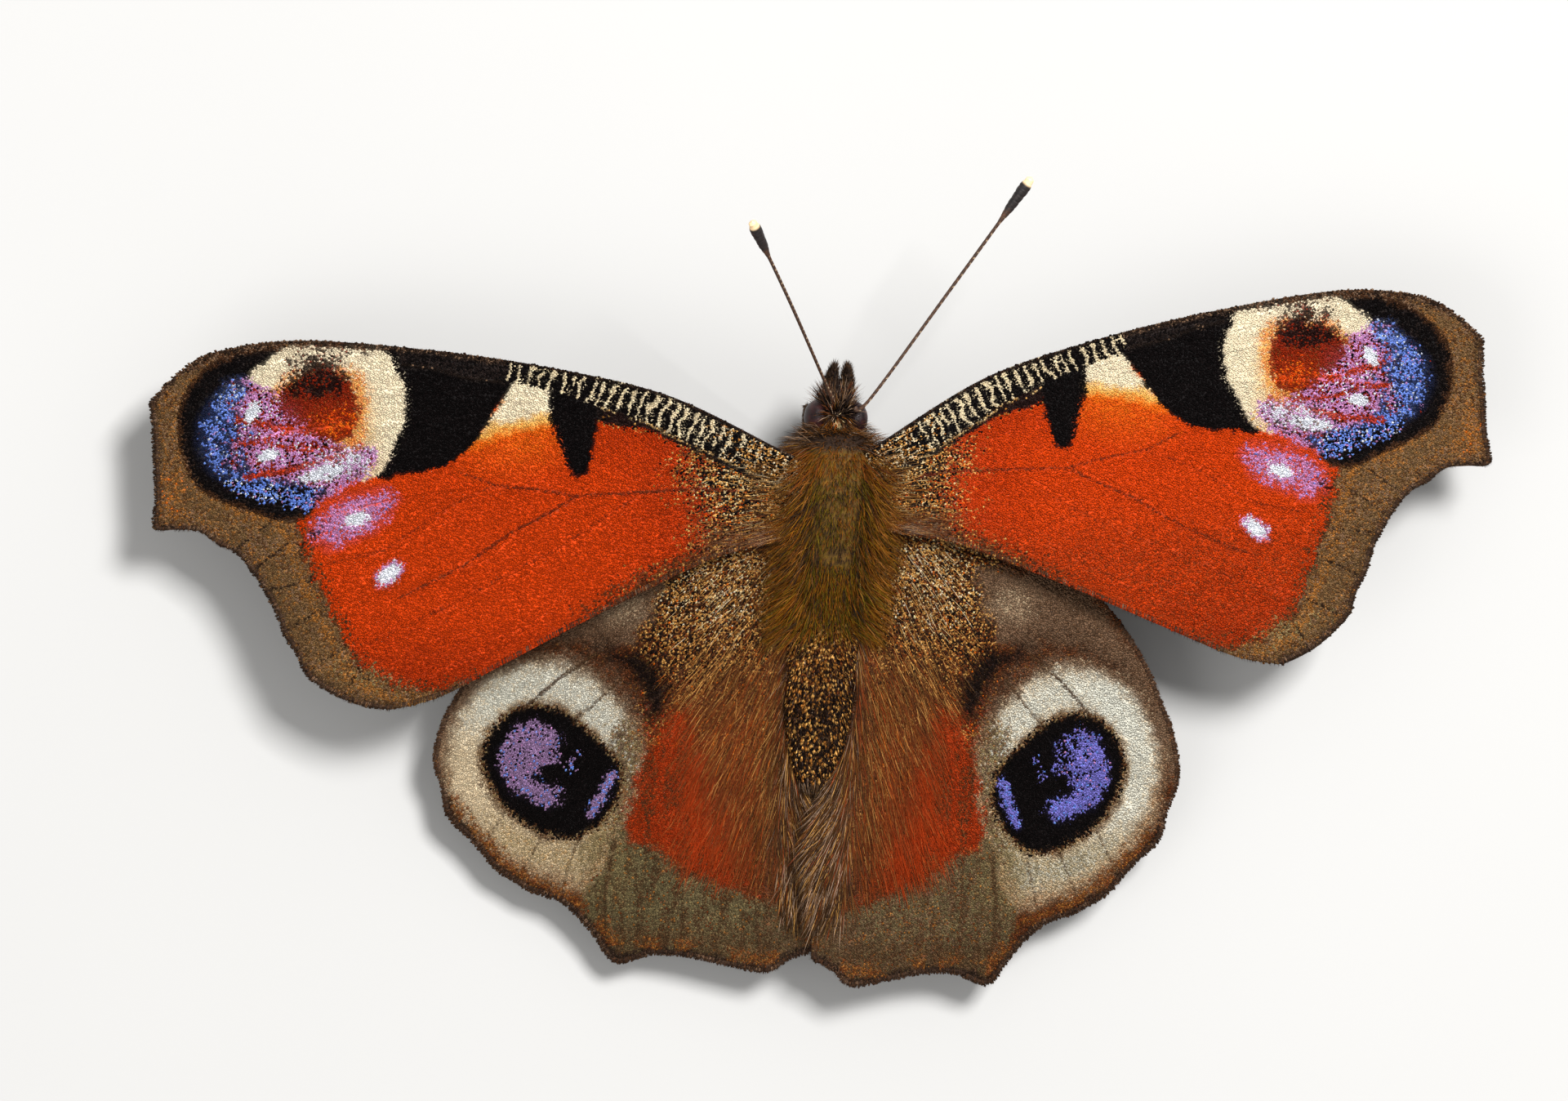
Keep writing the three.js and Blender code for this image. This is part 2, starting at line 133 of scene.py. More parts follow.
def cloud(points: Array, size: float, seed: int) -> Array:
    """Smooth value noise from 0 to 1 over plan points.

    Args:
        points: Plan points, one a row.
        size: Width of a blotch in millimetres.
        seed: Which noise it is.

    Returns:
        One number for each point.
    """
    q = np.asarray(points, float) / size
    cell = np.floor(q).astype(np.int64)
    f = q - cell
    f = f * f * (3 - 2 * f)

    def at(dx: int, dy: int) -> Array:
        """The noise at one corner of each point's cell."""
        n = (cell[:, 0] + dx) * HASH_X + (cell[:, 1] + dy) * HASH_Y + seed * HASH_SEED
        n = n & HASH_MASK
        n = ((n ^ (n >> 13)) * HASH_MIX) & HASH_MASK
        return ((n ^ (n >> 16)) & 0xFFFF) / 65535.0

    low = at(0, 0) * (1 - f[:, 0]) + at(1, 0) * f[:, 0]
    high = at(0, 1) * (1 - f[:, 0]) + at(1, 1) * f[:, 0]
    return low * (1 - f[:, 1]) + high * f[:, 1]


def spline(points: Line, t: Array) -> Array:
    """Points on a smooth curve through the given points.

    Args:
        points: What the curve passes through.
        t: Places along it from 0 to 1, equal shares of its points.

    Returns:
        One point for each place.
    """
    p = np.asarray(points, float)
    n = len(p)
    at = (n - 1) * np.asarray(t, float)
    i = np.clip(np.floor(at).astype(int), 0, n - 1)
    w = (at - i)[:, None]
    a, b = p[np.clip(i - 1, 0, n - 1)], p[i]
    c, d = p[np.clip(i + 1, 0, n - 1)], p[np.clip(i + 2, 0, n - 1)]
    v, u = (c - a) * 0.5, (d - b) * 0.5
    return (2 * b - 2 * c + v + u) * w**3 + (-3 * b + 3 * c - 2 * v - u) * w**2 + v * w + b


def by_length(points: Line, s: Array) -> Array:
    """Points on the same curve at equal shares of its length."""
    fine = spline(points, np.linspace(0, 1, 500))
    run = np.concatenate([[0], np.cumsum(np.linalg.norm(np.diff(fine, axis=0), axis=1))])
    return rows_of(*(np.interp(np.asarray(s, float), run / run[-1], column) for column in fine.T))


def smooth_loop(points: Sequence[Point]) -> Array:
    """A closed smooth outline through the points."""
    p = np.asarray(points, float)
    a, b, c, d = np.roll(p, 1, 0), p, np.roll(p, -1, 0), np.roll(p, -2, 0)
    rows = [
        0.5 * (
            2 * b + (c - a) * t + (2 * a - 5 * b + 4 * c - d) * t * t
            + (3 * b - a - 3 * c + d) * t**3
        )
        for t in np.arange(LOOP_STEPS) / LOOP_STEPS
    ]
    return np.stack(rows, 1).reshape(-1, 2)


def line_distance(points: Array, line: Line) -> Array:
    """Distance from each point to an open line."""
    best = np.full(len(points), 1e9)
    for (ax, ay), (bx, by) in zip(line[:-1], line[1:]):
        ex, ey = bx - ax, by - ay
        wx, wy = points[:, 0] - ax, points[:, 1] - ay
        t = np.clip((wx * ex + wy * ey) / (ex * ex + ey * ey + 1e-12), 0, 1)
        best = np.minimum(best, (wx - ex * t) ** 2 + (wy - ey * t) ** 2)
    return np.sqrt(best)


def depth_inside(points: Array, outline: Array, reach: float = 1.5) -> Array:
    """Distance inside a closed outline, negative outside it.

    Args:
        points: Plan points.
        outline: The outline's points in order.
        reach: Points farther out than this are left at minus this.

    Returns:
        One distance for each point.
    """
    result = np.full(len(points), -float(reach))
    low, high = outline.min(0) - reach, outline.max(0) + reach
    near = np.where(((points > low) & (points < high)).all(1))[0]
    q = points[near]
    inside = np.zeros(len(near), bool)
    for (ax, ay), (bx, by) in zip(outline, np.roll(outline, -1, axis=0)):
        if ay != by:
            cross = (ay > q[:, 1]) != (by > q[:, 1])
            inside ^= cross & (q[:, 0] < (bx - ax) * (q[:, 1] - ay) / (by - ay) + ax)
    d = line_distance(q, np.vstack([outline, outline[:1]]))
    result[near] = np.where(inside, d, -d)
    return result


# ---- pigments


class Pigment(Enum):
    """A scale's or hair's colour, and how much it varies from one to the next."""

    RED = ((218, 67, 8), 0.12)
    DEEP_RED = ((176, 50, 8), 0.14)
    FIELD_RED = ((168, 52, 12), 0.2)
    ORANGE = ((248, 118, 22), 0.07)
    YELLOW = ((255, 190, 92), 0.05)
    CREAM = ((255, 236, 200), 0.04)
    BLACK = ((13, 8, 8), 0.3)
    CHAR = ((38, 29, 26), 0.3)
    DARK_BROWN = ((46, 32, 24), 0.25)
    RED_BROWN = ((140, 36, 10), 0.16)
    GOLD = ((222, 164, 88), 0.18)
    LILAC = ((206, 142, 196), 0.14)
    BLUE = ((110, 144, 236), 0.25)
    WHITE = ((244, 247, 255), 0.03)
    OLIVE = ((126, 96, 60), 0.16)
    GOLDEN = ((166, 106, 46), 0.18)
    EDGE = ((62, 46, 36), 0.2)
    STRAW = ((240, 212, 156), 0.1)
    RUST = ((122, 60, 26), 0.14)
    UMBER = ((84, 52, 30), 0.18)
    PEARL = ((232, 230, 214), 0.06)
    SAND = ((232, 206, 166), 0.09)
    PALE_OLIVE = ((150, 132, 88), 0.1)
    TAUPE = ((134, 104, 80), 0.12)
    MAUVE = ((158, 124, 166), 0.2)
    VIOLET = ((124, 118, 204), 0.16)
    MOSS = ((108, 96, 66), 0.14)
    BARK = ((84, 62, 40), 0.16)
    GREY = ((120, 112, 104), 0.1)
    HAIR_OLIVE = ((86, 70, 12), 0.2)
    HAIR_RUST = ((118, 66, 14), 0.25)
    HAIR_BROWN = ((88, 58, 28), 0.28)
    HAIR_GREY = ((168, 140, 116), 0.3)
    HAIR_DARK = ((44, 32, 24), 0.25)
    HAIR_RED = ((164, 66, 24), 0.24)
    HAIR_GOLD = ((124, 84, 16), 0.22)


P = Pigment
Mix = Pigment | dict[Pigment, float]


class Dusting:
    """The scales or hairs of a surface, each given its pigment by chance.

    Attributes:
        grain: How far the choice is by chance; the rest is a smooth blend.
        clump: How far neighbours choose alike where it is not all by chance.
        clump_width: Width of such a group in millimetres.
        faint: Cover so low that it counts as none.
    """

    grain = 0.8
    clump = 0.4
    clump_width = 0.16
    faint = 0.001

    def __init__(self, points: Array, seed: int, ground: Mix) -> None:
        """Starts every one with the ground pigment."""
        self.p = np.asarray(points, float)[:, :2]
        self.x, self.y = self.p[:, 0], self.p[:, 1]
        self.chance = np.random.default_rng(seed)
        self.shade = self.chance.normal(0, 1, len(self.p))
        self.layer = seed * 100
        self.colour = np.zeros((len(self.p), 3))
        self.put(np.ones(len(self.p)), ground)

    def put(self, cover: Array | float, mix: Mix, grain: float | None = None) -> None:
        """Gives pigment to some of them.

        Args:
            cover: Chance from 0 to 1 that each one takes it.
            mix: One pigment, or several with their shares.
            grain: How far the choice is by chance, if not as usual.
        """
        grain = self.grain if grain is None else grain
        self.layer += 1
        number = len(self.p)
        cover = np.clip(np.broadcast_to(cover, number), 0, 1)
        clump = self.clump * (grain < 1)
        group = cloud(self.p, self.clump_width, self.layer)
        roll = (1 - clump) * self.chance.random(number) + clump * group
        weight = (grain * (roll < cover) + (1 - grain) * cover)[:, None]
        weight[cover <= self.faint] = 0
        shares = mix if isinstance(mix, dict) else {mix: 1.0}
        total = sum(shares.values())
        pick = self.chance.random(number) * total
        mean = sum(linear(pigment.value[0]) * share for pigment, share in shares.items()) / total
        chosen = np.tile(mean * (1 - grain), (number, 1))
        start = 0.0
        for pigment, share in shares.items():
            here = (pick >= start) & (pick < start + share)
            start += share
            chosen[here] += grain * linear(pigment.value[0])
            chosen[here] *= np.exp(pigment.value[1] * self.shade[here])[:, None]
        self.colour = self.colour * (1 - weight) + chosen * weight

    def depth(self, outline: Sequence[Point], reach: float = 1.5) -> Array:
        """Distance inside a smooth outline."""
        return depth_inside(self.p, smooth_loop(outline), reach)

    def region(
        self, outline: Sequence[Point], soft: float = 0.12, rough: float = 0.12,
        size: float = 0.35, seed: int = 1,
    ) -> Array:
        """Cover inside a smooth outline.

        Args:
            outline: Points round the region.
            soft: Half the width of its fading edge.
            rough: How far the edge wanders.
            size: How long each wander is.
            seed: Which noise makes the wander.

        Returns:
            Chance from 0 to 1 for each one.
        """
        d = self.depth(outline) + (cloud(self.p, size, seed) - 0.5) * 2 * rough
        return np.clip(0.5 + d / (2 * soft), 0, 1)

    def blob(
        self, centre: Point, radii: Point, turn: float = 0, soft: float = 0.15,
        rough: float = 0.1, seed: int = 3,
    ) -> Array:
        """Cover inside a turned ellipse, with the same edge as a region's."""
        a = math.radians(-turn)
        u, v = turned(self.x - centre[0], self.y - centre[1], math.cos(a), math.sin(a))
        d = (1 - np.sqrt((u / radii[0]) ** 2 + (v / radii[1]) ** 2)) * min(radii)
        d = d + (cloud(self.p, 0.3, seed) - 0.5) * 2 * rough
        return np.clip(0.5 + d / (2 * soft), 0, 1)

    def along(self, line: Sequence[Point], width: float, core: float = 1.4) -> Array:
        """Cover along a line, fading to nothing at about its width."""
        return np.clip(core - line_distance(self.p, line) / width, 0, 1)

    def noise(self, size: float, seed: int, stretch: float = 1) -> Array:
        """Smooth noise at each one's place, stretched along the body."""
        return cloud(self.p * (1, 1 / stretch), size, seed)


class HairDusting(Dusting):
    """Hairs, each of one pigment from root to tip."""

    grain = 1.0


# ---- wing plans


@dataclass(frozen=True)
class WingPlan:
    """The outline and camber of one kind of wing, as if on the left side.

    Attributes:
        hinge: Where the droop starts, from the body's middle.
        droop: Its slope in degrees.
        bend: How fast the slope grows.
        pivot: What a stretch along the body is measured from.
        seamed: Whether it meets its fellow behind the body.
        root: The line where it joins the body.
        costa: Its leading edge from root to tip.
        inner: Its trailing edge from root to corner.
        ends: Where its veins reach the outer edge.
        scallop: How far each stretch between veins curves in.
        veins: The raised veins.
    """

    hinge: float
    droop: float
    bend: float
    pivot: float
    seamed: bool
    root: tuple[Point, ...]
    costa: tuple[Point, ...]
    inner: tuple[Point, ...]
    ends: tuple[Point, ...]
    scallop: tuple[float, ...]
    veins: tuple[tuple[Point, ...], ...]


FOREWING = WingPlan(
    hinge=2.3, droop=5, bend=0.0007, pivot=0, seamed=False,
    root=((1.2, -2.9), (1.3, -1.2), (1.4, 0.5)),
    costa=(
        (1.2, -2.9), (2.4, -3.55), (7.55, -6.34), (13.2, -7.95), (18.95, -9.05), (24.8, -9.73),
        (28.65, -9.36), (30.4, -8.46), (31.8, -7.13),
    ),
    inner=(
        (1.4, 0.5), (3.5, 0.9), (5.8, 1.43), (9.1, 2.8), (12.4, 4.29), (15.65, 5.84),
        (18.9, 7.34), (21.25, 7.85),
    ),
    ends=(
        (31.8, -7.13), (31.72, -4.1), (31.85, -1.22), (29.75, -0.96), (28.0, 0.2), (26.65, 2.0),
        (25.8, 3.95), (24.85, 5.85), (23.1, 7.2), (21.25, 7.85),
    ),
    scallop=(0.06, 0.05, 0.0, -0.08, 0.06, 0.09, 0.1, -0.08, -0.06),
    veins=(
        ((1.3, -2.7), (2.6, -3.3), (7.7, -6.0), (13.3, -7.6), (19.0, -8.7), (25.0, -9.3)),
        ((1.3, -2.2), (4.0, -3.5), (9.0, -5.6), (15.0, -7.15), (20.0, -8.1), (28.5, -8.9)),
        ((14.0, -6.3), (18.0, -6.9), (25.0, -7.6), (31.0, -6.9)),
        ((15.9, -4.6), (20.0, -5.6), (26.0, -5.5), (31.6, -4.3)),
        ((16.2, -3.6), (21.0, -4.0), (26.5, -3.1), (31.5, -1.4)),
        ((15.8, -2.5), (20.0, -2.2), (25.0, -1.3), (29.6, -1.0)),
        ((13.5, -2.15), (15.8, -2.5), (18.0, -1.6), (21.0, 0.3), (27.8, 0.2)),
        ((12.0, -1.8), (13.2, -1.15), (15.0, -0.3), (17.4, 1.2), (26.5, 1.9)),
        ((1.3, -1.4), (6.5, -1.9), (9.0, -1.85), (12.0, -1.8), (13.5, -2.15), (15.8, -2.5)),
        ((9.0, -1.8), (13.0, 0.6), (19.0, 3.4), (24.7, 5.7)),
        ((1.4, -0.6), (7.0, 0.2), (13.0, 3.2), (19.0, 6.2), (23.0, 7.1)),
    ),
)

HINDWING = WingPlan(
    hinge=2.2, droop=6, bend=0.0012, pivot=15, seamed=True,
    root=((1.0, 0.9), (0.9, 2.7), (0.8, 4.6)),
    costa=(
        (1.0, 0.9), (2.8, 0.7), (5.5, -0.1), (8.5, 0.5), (11.0, 1.6), (13.0, 3.0), (14.6, 4.55),
    ),
    inner=(
        (0.8, 4.6), (1.5, 7.2), (1.4, 9.6), (0.95, 11.8), (0.35, 13.6), (0.1, 15.4), (0.1, 18.0),
        (0.1, 20.7),
    ),
    ends=(
        (14.6, 4.55), (16.75, 7.9), (17.97, 11.7), (17.2, 14.6), (14.75, 17.2), (11.6, 18.75),
        (9.0, 21.65), (5.6, 21.25), (2.05, 21.9), (0.1, 20.7),
    ),
    scallop=(-0.15, -0.25, 0.05, 0.05, -0.2, 0.12, 0.25, -0.05, 0.1),
    veins=(
        ((1.2, 1.7), (6.0, 1.4), (11.0, 3.2), (16.2, 7.6)),
        ((1.4, 2.4), (6.0, 3.4), (10.6, 6.2), (12.2, 7.4), (14.2, 9.4), (17.7, 11.7)),
        ((6.0, 4.2), (9.4, 7.4), (10.6, 8.7), (11.9, 9.9), (14.4, 12.2), (17.0, 14.5)),
        ((5.4, 5.6), (8.7, 9.6), (10.0, 11.0), (12.2, 14.0), (14.6, 17.0)),
        ((4.8, 6.4), (8.0, 11.6), (11.0, 15.5), (11.5, 18.6)),
        ((1.3, 3.2), (4.2, 6.8), (7.2, 11.8), (9.3, 15.5), (9.6, 18.0), (9.0, 21.5)),
        ((2.8, 7.0), (4.8, 12.0), (6.0, 17.0), (5.7, 21.1)),
        ((1.6, 7.6), (2.6, 12.0), (2.3, 18.4), (2.1, 21.7)),
    ),
)

BAND_EDGE: tuple[Point, ...] = (
    (25.5, -1.45), (25.1, -0.4), (24.7, 0.7), (24.35, 1.9), (24.0, 2.9), (23.5, 3.9), (23.1, 4.9),
    (22.6, 5.7), (22.0, 6.3), (21.0, 6.75), (19.8, 7.05), (18.6, 7.1), (17.4, 6.95), (17, 9.5),
    (24, 10), (28, 5), (33.5, 0), (34, -9), (31, -10.6), (26, -10.6), (22, -10.2), (26, -9.1),
    (28.2, -8.4), (29.3, -7.4), (29.7, -6), (29.5, -4.2), (28.8, -3.0), (27.2, -2.2),
)


class WingMarkings(Dusting):
    """What both kinds of wing need for their pattern."""

    def __init__(self, points: Array, seed: int, edge: Array, front: Array, violet: bool) -> None:
        """Lays the whole pattern.

        Args:
            points: Plan points of the scales.
            seed: Seeds the chance.
            edge: How far each is from the wing's outer edge.
            front: How far each is from the leading edge.
            violet: Whether a forewing's red carries painted shade towards its rear, and the
                eyespot shines bluer.
        """
        super().__init__(points, seed, P.RED)
        self.edge, self.front, self.violet = edge, front, violet
        for step in self.steps():
            step()

    def steps(self) -> list[Callable[[], None]]:
        """The parts of the pattern, lowest first."""
        return []


class ForewingMarkings(WingMarkings):
    """Red field, banded leading edge, black and cream patches and the eyespot."""

    def steps(self) -> list[Callable[[], None]]:
        """The parts of the pattern, lowest first."""
        return [
            self.field, self.base, self.outer_band, self.cream_patch, self.black_patches,
            self.bars, self.ring, self.eyespot, self.heart, self.leading_edge, self.white_spots,
            self.veins, self.dark_edge,
        ]

    def field(self) -> None:
        """The red, deeper towards the trailing edge, orange under the cream, with painted shade
        over the rear half of the right forewing.
        """
        x, y = self.x, self.y
        self.put(0.15 + 0.6 * ramp(y, 3.0, 6.8) + 0.5 * (1 - ramp(x, 6, 12)), P.DEEP_RED, 0.4)
        rusty = ramp(y, 5.6, 7.8) * (self.noise(0.45, 12) > 0.35)
        self.put(0.5 * rusty, {P.RUST: 1, P.DEEP_RED: 1})
        self.put(0.5 * self.blob((14.3, -4.5), (2.0, 1.0), 12, 1.0, 0.15), P.ORANGE, 0.25)
        self.put(0.45 * ramp(-y, 2.4, 4.2) * (x < 12), P.DEEP_RED, 0.4)
        # Painted shade: the right forewing's rear half is darkened, as that wing gets less light.
        if self.violet:
            self.put(0.5 * ramp(y, -1.5, 3), {P.DEEP_RED: 1, P.RUST: 0.7}, 0.5)

    def base(self) -> None:
        """Gold and black dust by the body, brown at the corner."""
        x, y = self.x, self.y
        out = x - 1.2 * (self.noise(0.45, 12) - 0.5) + 0.25 * np.abs(y + 2.6)
        base, near, dust = ramp(-out, -9.4, -5.2), ramp(-out, -7.9, -5.0), ramp(-out, -8.9, -5.6)
        self.put(0.8 * base, {P.RUST: 1.2, P.UMBER: 0.8, P.DEEP_RED: 0.8}, 0.6)
        self.put(0.92 * near, {P.BLACK: 1.6, P.DARK_BROWN: 0.7, P.UMBER: 0.4}, 1)
        self.put(0.3 * dust, {P.GOLD: 0.9, P.GOLDEN: 1, P.ORANGE: 0.25}, 1)
        self.put(0.08 * dust * near, {P.STRAW: 1, P.GOLD: 0.5}, 1)
        upper = ramp(6.6 - x, 0, 2.4) * ramp(-y, 0.8, 2.4)
        self.put(0.8 * upper, {P.BLACK: 1, P.DARK_BROWN: 0.3}, 1)
        self.put(0.3 * upper, {P.GOLD: 1, P.STRAW: 0.7}, 1)
        corner = ramp(y, -0.6, 0.8) * ramp(7.4 - x, 0, 2.4)
        self.put(0.85 * corner, {P.UMBER: 1, P.BARK: 0.8, P.BLACK: 0.4}, 0.8)
        self.put(0.25 * corner, {P.TAUPE: 0.8, P.GOLD: 0.5, P.BLACK: 1}, 1)
        rear = ramp(-line_distance(self.p, FOREWING.inner), -1.7, -0.1) * ramp(15.5 - x, 0, 7)
        self.put(0.8 * rear, {P.RUST: 1, P.UMBER: 0.8, P.BLACK: 0.5}, 0.8)
        self.put(0.16 * rear * ramp(11 - x, 0, 3), {P.GOLD: 0.5, P.GOLDEN: 1}, 1)

    def outer_band(self) -> None:
        """The olive-brown band along the outer edge."""
        y = self.y
        band = self.region(BAND_EDGE, 0.22, 0.25, 0.5, 5)
        line = self.depth(BAND_EDGE)
        self.put(0.5 * ramp(line, -1.0, -0.1), {P.DEEP_RED: 0.8, P.RUST: 1, P.UMBER: 0.7}, 1)
        self.put(self.region(BAND_EDGE, 0.2, 0.4, 0.5, 5), {P.UMBER: 1, P.RUST: 1})
        self.put(0.75 * ramp(line, -0.3, 0.1), {P.UMBER: 1, P.RUST: 1.2, P.OLIVE: 0.4}, 1)
        self.put(band, {P.OLIVE: 1.2, P.GOLDEN: 0.6, P.TAUPE: 0.6, P.UMBER: 0.7}, 0.75)
        self.put(0.5 * band * (self.noise(0.8, 22) > 0.5), {P.OLIVE: 1, P.BARK: 0.5}, 0.5)
        self.put(0.5 * band * np.clip(1 - np.abs(line - 0.5) / 0.5, 0, 1) * (y > -9), P.GOLDEN)
        warm = self.blob((31, -2.6), (0.8, 1.4), 0, 0.3, 0.2)
        self.put(0.4 * band * warm, {P.GOLDEN: 1, P.ORANGE: 0.15})
        self.put(0.5 * band * ramp(-y, 8.1, 8.8), {P.TAUPE: 1, P.DARK_BROWN: 1.2})
        pale = self.blob((22.4, 6.3), (1.6, 0.6), -20, 0.5, 0.3)
        self.put(0.5 * pale, {P.GOLDEN: 0.6, P.PALE_OLIVE: 1})
        dust = np.clip(1 - np.abs(line) / 0.3, 0, 1) * (self.noise(0.7, 21) > 0.66) * (y > -0.6)
        self.put(0.45 * dust, {P.BLACK: 1, P.UMBER: 1})

    def bars(self) -> None:
        """The black and straw bars of the leading edge, and the dark line below them."""
        x, y = self.x, self.y
        gap = self.front - np.interp(x, (3, 8, 10, 12, 15), (1.5, 1.55, 1.3, 1.12, 0.95))
        gap = gap + 0.12 * (self.noise(0.2, 35) - 0.5)
        strip, foot = (gap < 0) * (x < 15.0), ramp(gap, -1.0, 0)
        below = (gap >= 0) * (x < 10.9)
        bend = 0.65 * (self.noise(0.5, 31) - 0.5) + 0.15 * np.sin(x * 2.1)
        wave = np.sin(2 * np.pi * ((x - 0.47 * y) / 0.54 + bend))
        self.put(strip * 1.0, P.BLACK, 0.3)
        pale = 0.5 + 3.2 * (wave - 0.45 - 0.3 * foot - 0.7 * (self.noise(0.2, 33) - 0.45))
        self.put(strip * np.clip(pale, 0, 1), {P.CREAM: 1, P.STRAW: 0.7}, 0.25)
        gold = ramp(6.4 - x, 0, 3.2)
        self.put(strip * 0.6 * gold, {P.GOLD: 0.5, P.BLACK: 1.6, P.GOLDEN: 0.4}, 1)
        self.put(strip * ramp(-self.front, -0.13, -0.06), {P.BLACK: 1, P.DARK_BROWN: 0.6}, 0.3)
        wide = 0.26 + 0.4 * ramp(x, 8, 10.6)
        dark = below * ramp(wide - gap, -0.12, 0.06)
        self.put(0.97 * dark, {P.BLACK: 1, P.CHAR: 0.8}, 0.6)
        line = np.clip(1.2 - np.abs(gap - 0.07) / 0.05, 0, 1) * (self.noise(0.16, 36) > 0.36)
        self.put(below * 0.8 * line, {P.STRAW: 1, P.GOLD: 1}, 0.5)
        dust = below * ramp(wide + 0.4 - gap, 0, 0.4) * (1 - 0.9 * dark)
        self.put(0.32 * dust, {P.GOLDEN: 1, P.GOLD: 0.3, P.BLACK: 1.2}, 1)

    def cream_patch(self) -> None:
        """The cream patch between the black ones, fading down to orange."""
        x, y = self.x, self.y
        outline = (
            (13.0, -6.95), (13.9, -7.05), (14.75, -7.15), (15.25, -6.3), (15.9, -5.4),
            (16.5, -4.75), (17.2, -4.1), (16.4, -4.25), (15.4, -4.75), (14.4, -4.95),
            (13.3, -5.05), (12.85, -5.4), (12.9, -6.2),
        )
        patch = ramp(self.depth(outline) + 0.24 * (self.noise(0.3, 8) - 0.5), -0.3, 0.05)
        down = y - 0.16 * (x - 14) + 0.3 * (self.noise(0.3, 34) - 0.5)
        for mix, start, end in (
            (P.ORANGE, -5.1, -4.3), (P.YELLOW, -5.5, -4.8), (P.CREAM, -6.0, -5.25),
        ):
            self.put(patch * (1 - ramp(down, start, end)), mix, 0.3)

    def black_patches(self) -> None:
        """The black wedge, the big black patch and the strip above it."""
        wedge = (
            (10.75, -6.9), (12.0, -7.2), (13.0, -7.4), (13.05, -5.8), (12.95, -4.9), (12.7, -4.2),
            (12.45, -3.5), (12.2, -2.9), (11.85, -2.65), (11.5, -2.8), (11.25, -3.4),
            (11.1, -4.1), (10.9, -4.8), (10.75, -5.5), (10.6, -6.0),
        )
        big = (
            (14.55, -8.3), (17, -8.75), (19.4, -9.2), (21.3, -9.5), (20.9, -8.95), (20.35, -8.35),
            (20.0, -7.7), (19.8, -7.0), (19.75, -6.3), (19.95, -5.6), (20.2, -4.9), (20.55, -4.2),
            (21.0, -3.55), (21.3, -3.05), (20.4, -3.15), (19.4, -3.25), (18.5, -3.4),
            (17.75, -3.65), (17.2, -4.0), (16.6, -4.6), (16.1, -5.2), (15.6, -5.95), (15.1, -6.7),
            (14.7, -7.3),
        )
        strip = (
            (14.6, -8.3), (17, -8.75), (19.4, -9.2), (21.2, -9.45), (20.6, -8.65), (19.0, -8.3),
            (17.4, -7.75), (16, -7.4), (14.8, -7.2),
        )
        self.put(self.region(wedge, 0.14, 0.1, 0.25, 9), P.BLACK)
        self.put(self.region(big, 0.1, 0.09, 0.3, 7), P.BLACK)
        self.put(0.75 * self.region(strip, 0.15, 0.08, 0.4, 10), {P.CHAR: 1, P.BLACK: 0.5})
        line = ((15.2, -7.3), (17, -7.6), (18.6, -8.15), (20.2, -8.4))
        self.put(0.25 * self.along(line, 0.12, 1), P.TAUPE)

    def ring(self) -> None:
        """The cream ring round the eyespot and the black crescent outside it."""
        ring = (
            (20.75, -9.15), (21.6, -9.38), (23.2, -9.4), (24.8, -9.42), (26.1, -9.2),
            (27.0, -8.75), (27.6, -8.05), (27.75, -7.35), (27.2, -6.9), (26.2, -6.8), (25, -6.9),
            (24, -6.6), (23.3, -5.9), (22.8, -5.1), (22.6, -4.3), (22.7, -3.5), (22.3, -3.05),
            (21.6, -3.05), (21.0, -3.5), (20.55, -4.2), (20.2, -4.9), (19.95, -5.6),
            (19.75, -6.3), (19.8, -7.0), (20.0, -7.7), (20.35, -8.35),
        )
        crescent = (
            (25.6, -9.3), (27.2, -9.15), (28.5, -8.75), (29.5, -7.95), (30.15, -6.9),
            (30.3, -5.6), (30.1, -4.3), (29.5, -3.1), (28.4, -2.4), (27.2, -1.95), (26.1, -1.5),
            (25.2, -1.45), (24.6, -1.7), (24.5, -2.3), (26, -2.9), (27.5, -4), (28, -5.5),
            (27.6, -7), (27.1, -8), (26.4, -8.75),
        )
        cover = self.region(ring, 0.1, 0.1, 0.3, 13)
        near = ramp(self.depth(ring), -0.4, -0.25) * (self.x < 22.6) * (self.y < -3.2)
        self.put(near, P.BLACK, 0)
        self.put(ramp(self.depth(crescent), -0.3, -0.12), {P.UMBER: 1, P.BLACK: 1}, 0)
        self.put(cover, P.CREAM, 0.5)
        peach = ramp(-np.abs(self.x - 22.2), -1.6, -0.3) * ramp(self.y, -8.2, -6)
        self.put(0.45 * cover * peach, P.YELLOW, 0.2)
        self.put(0.25 * cover * ramp(self.y, -4.9, -3.6), {P.YELLOW: 1, P.TAUPE: 0.3})
        self.put(self.region(crescent, 0.14, 0.13, 0.3, 14), {P.BLACK: 1, P.CHAR: 0.12})

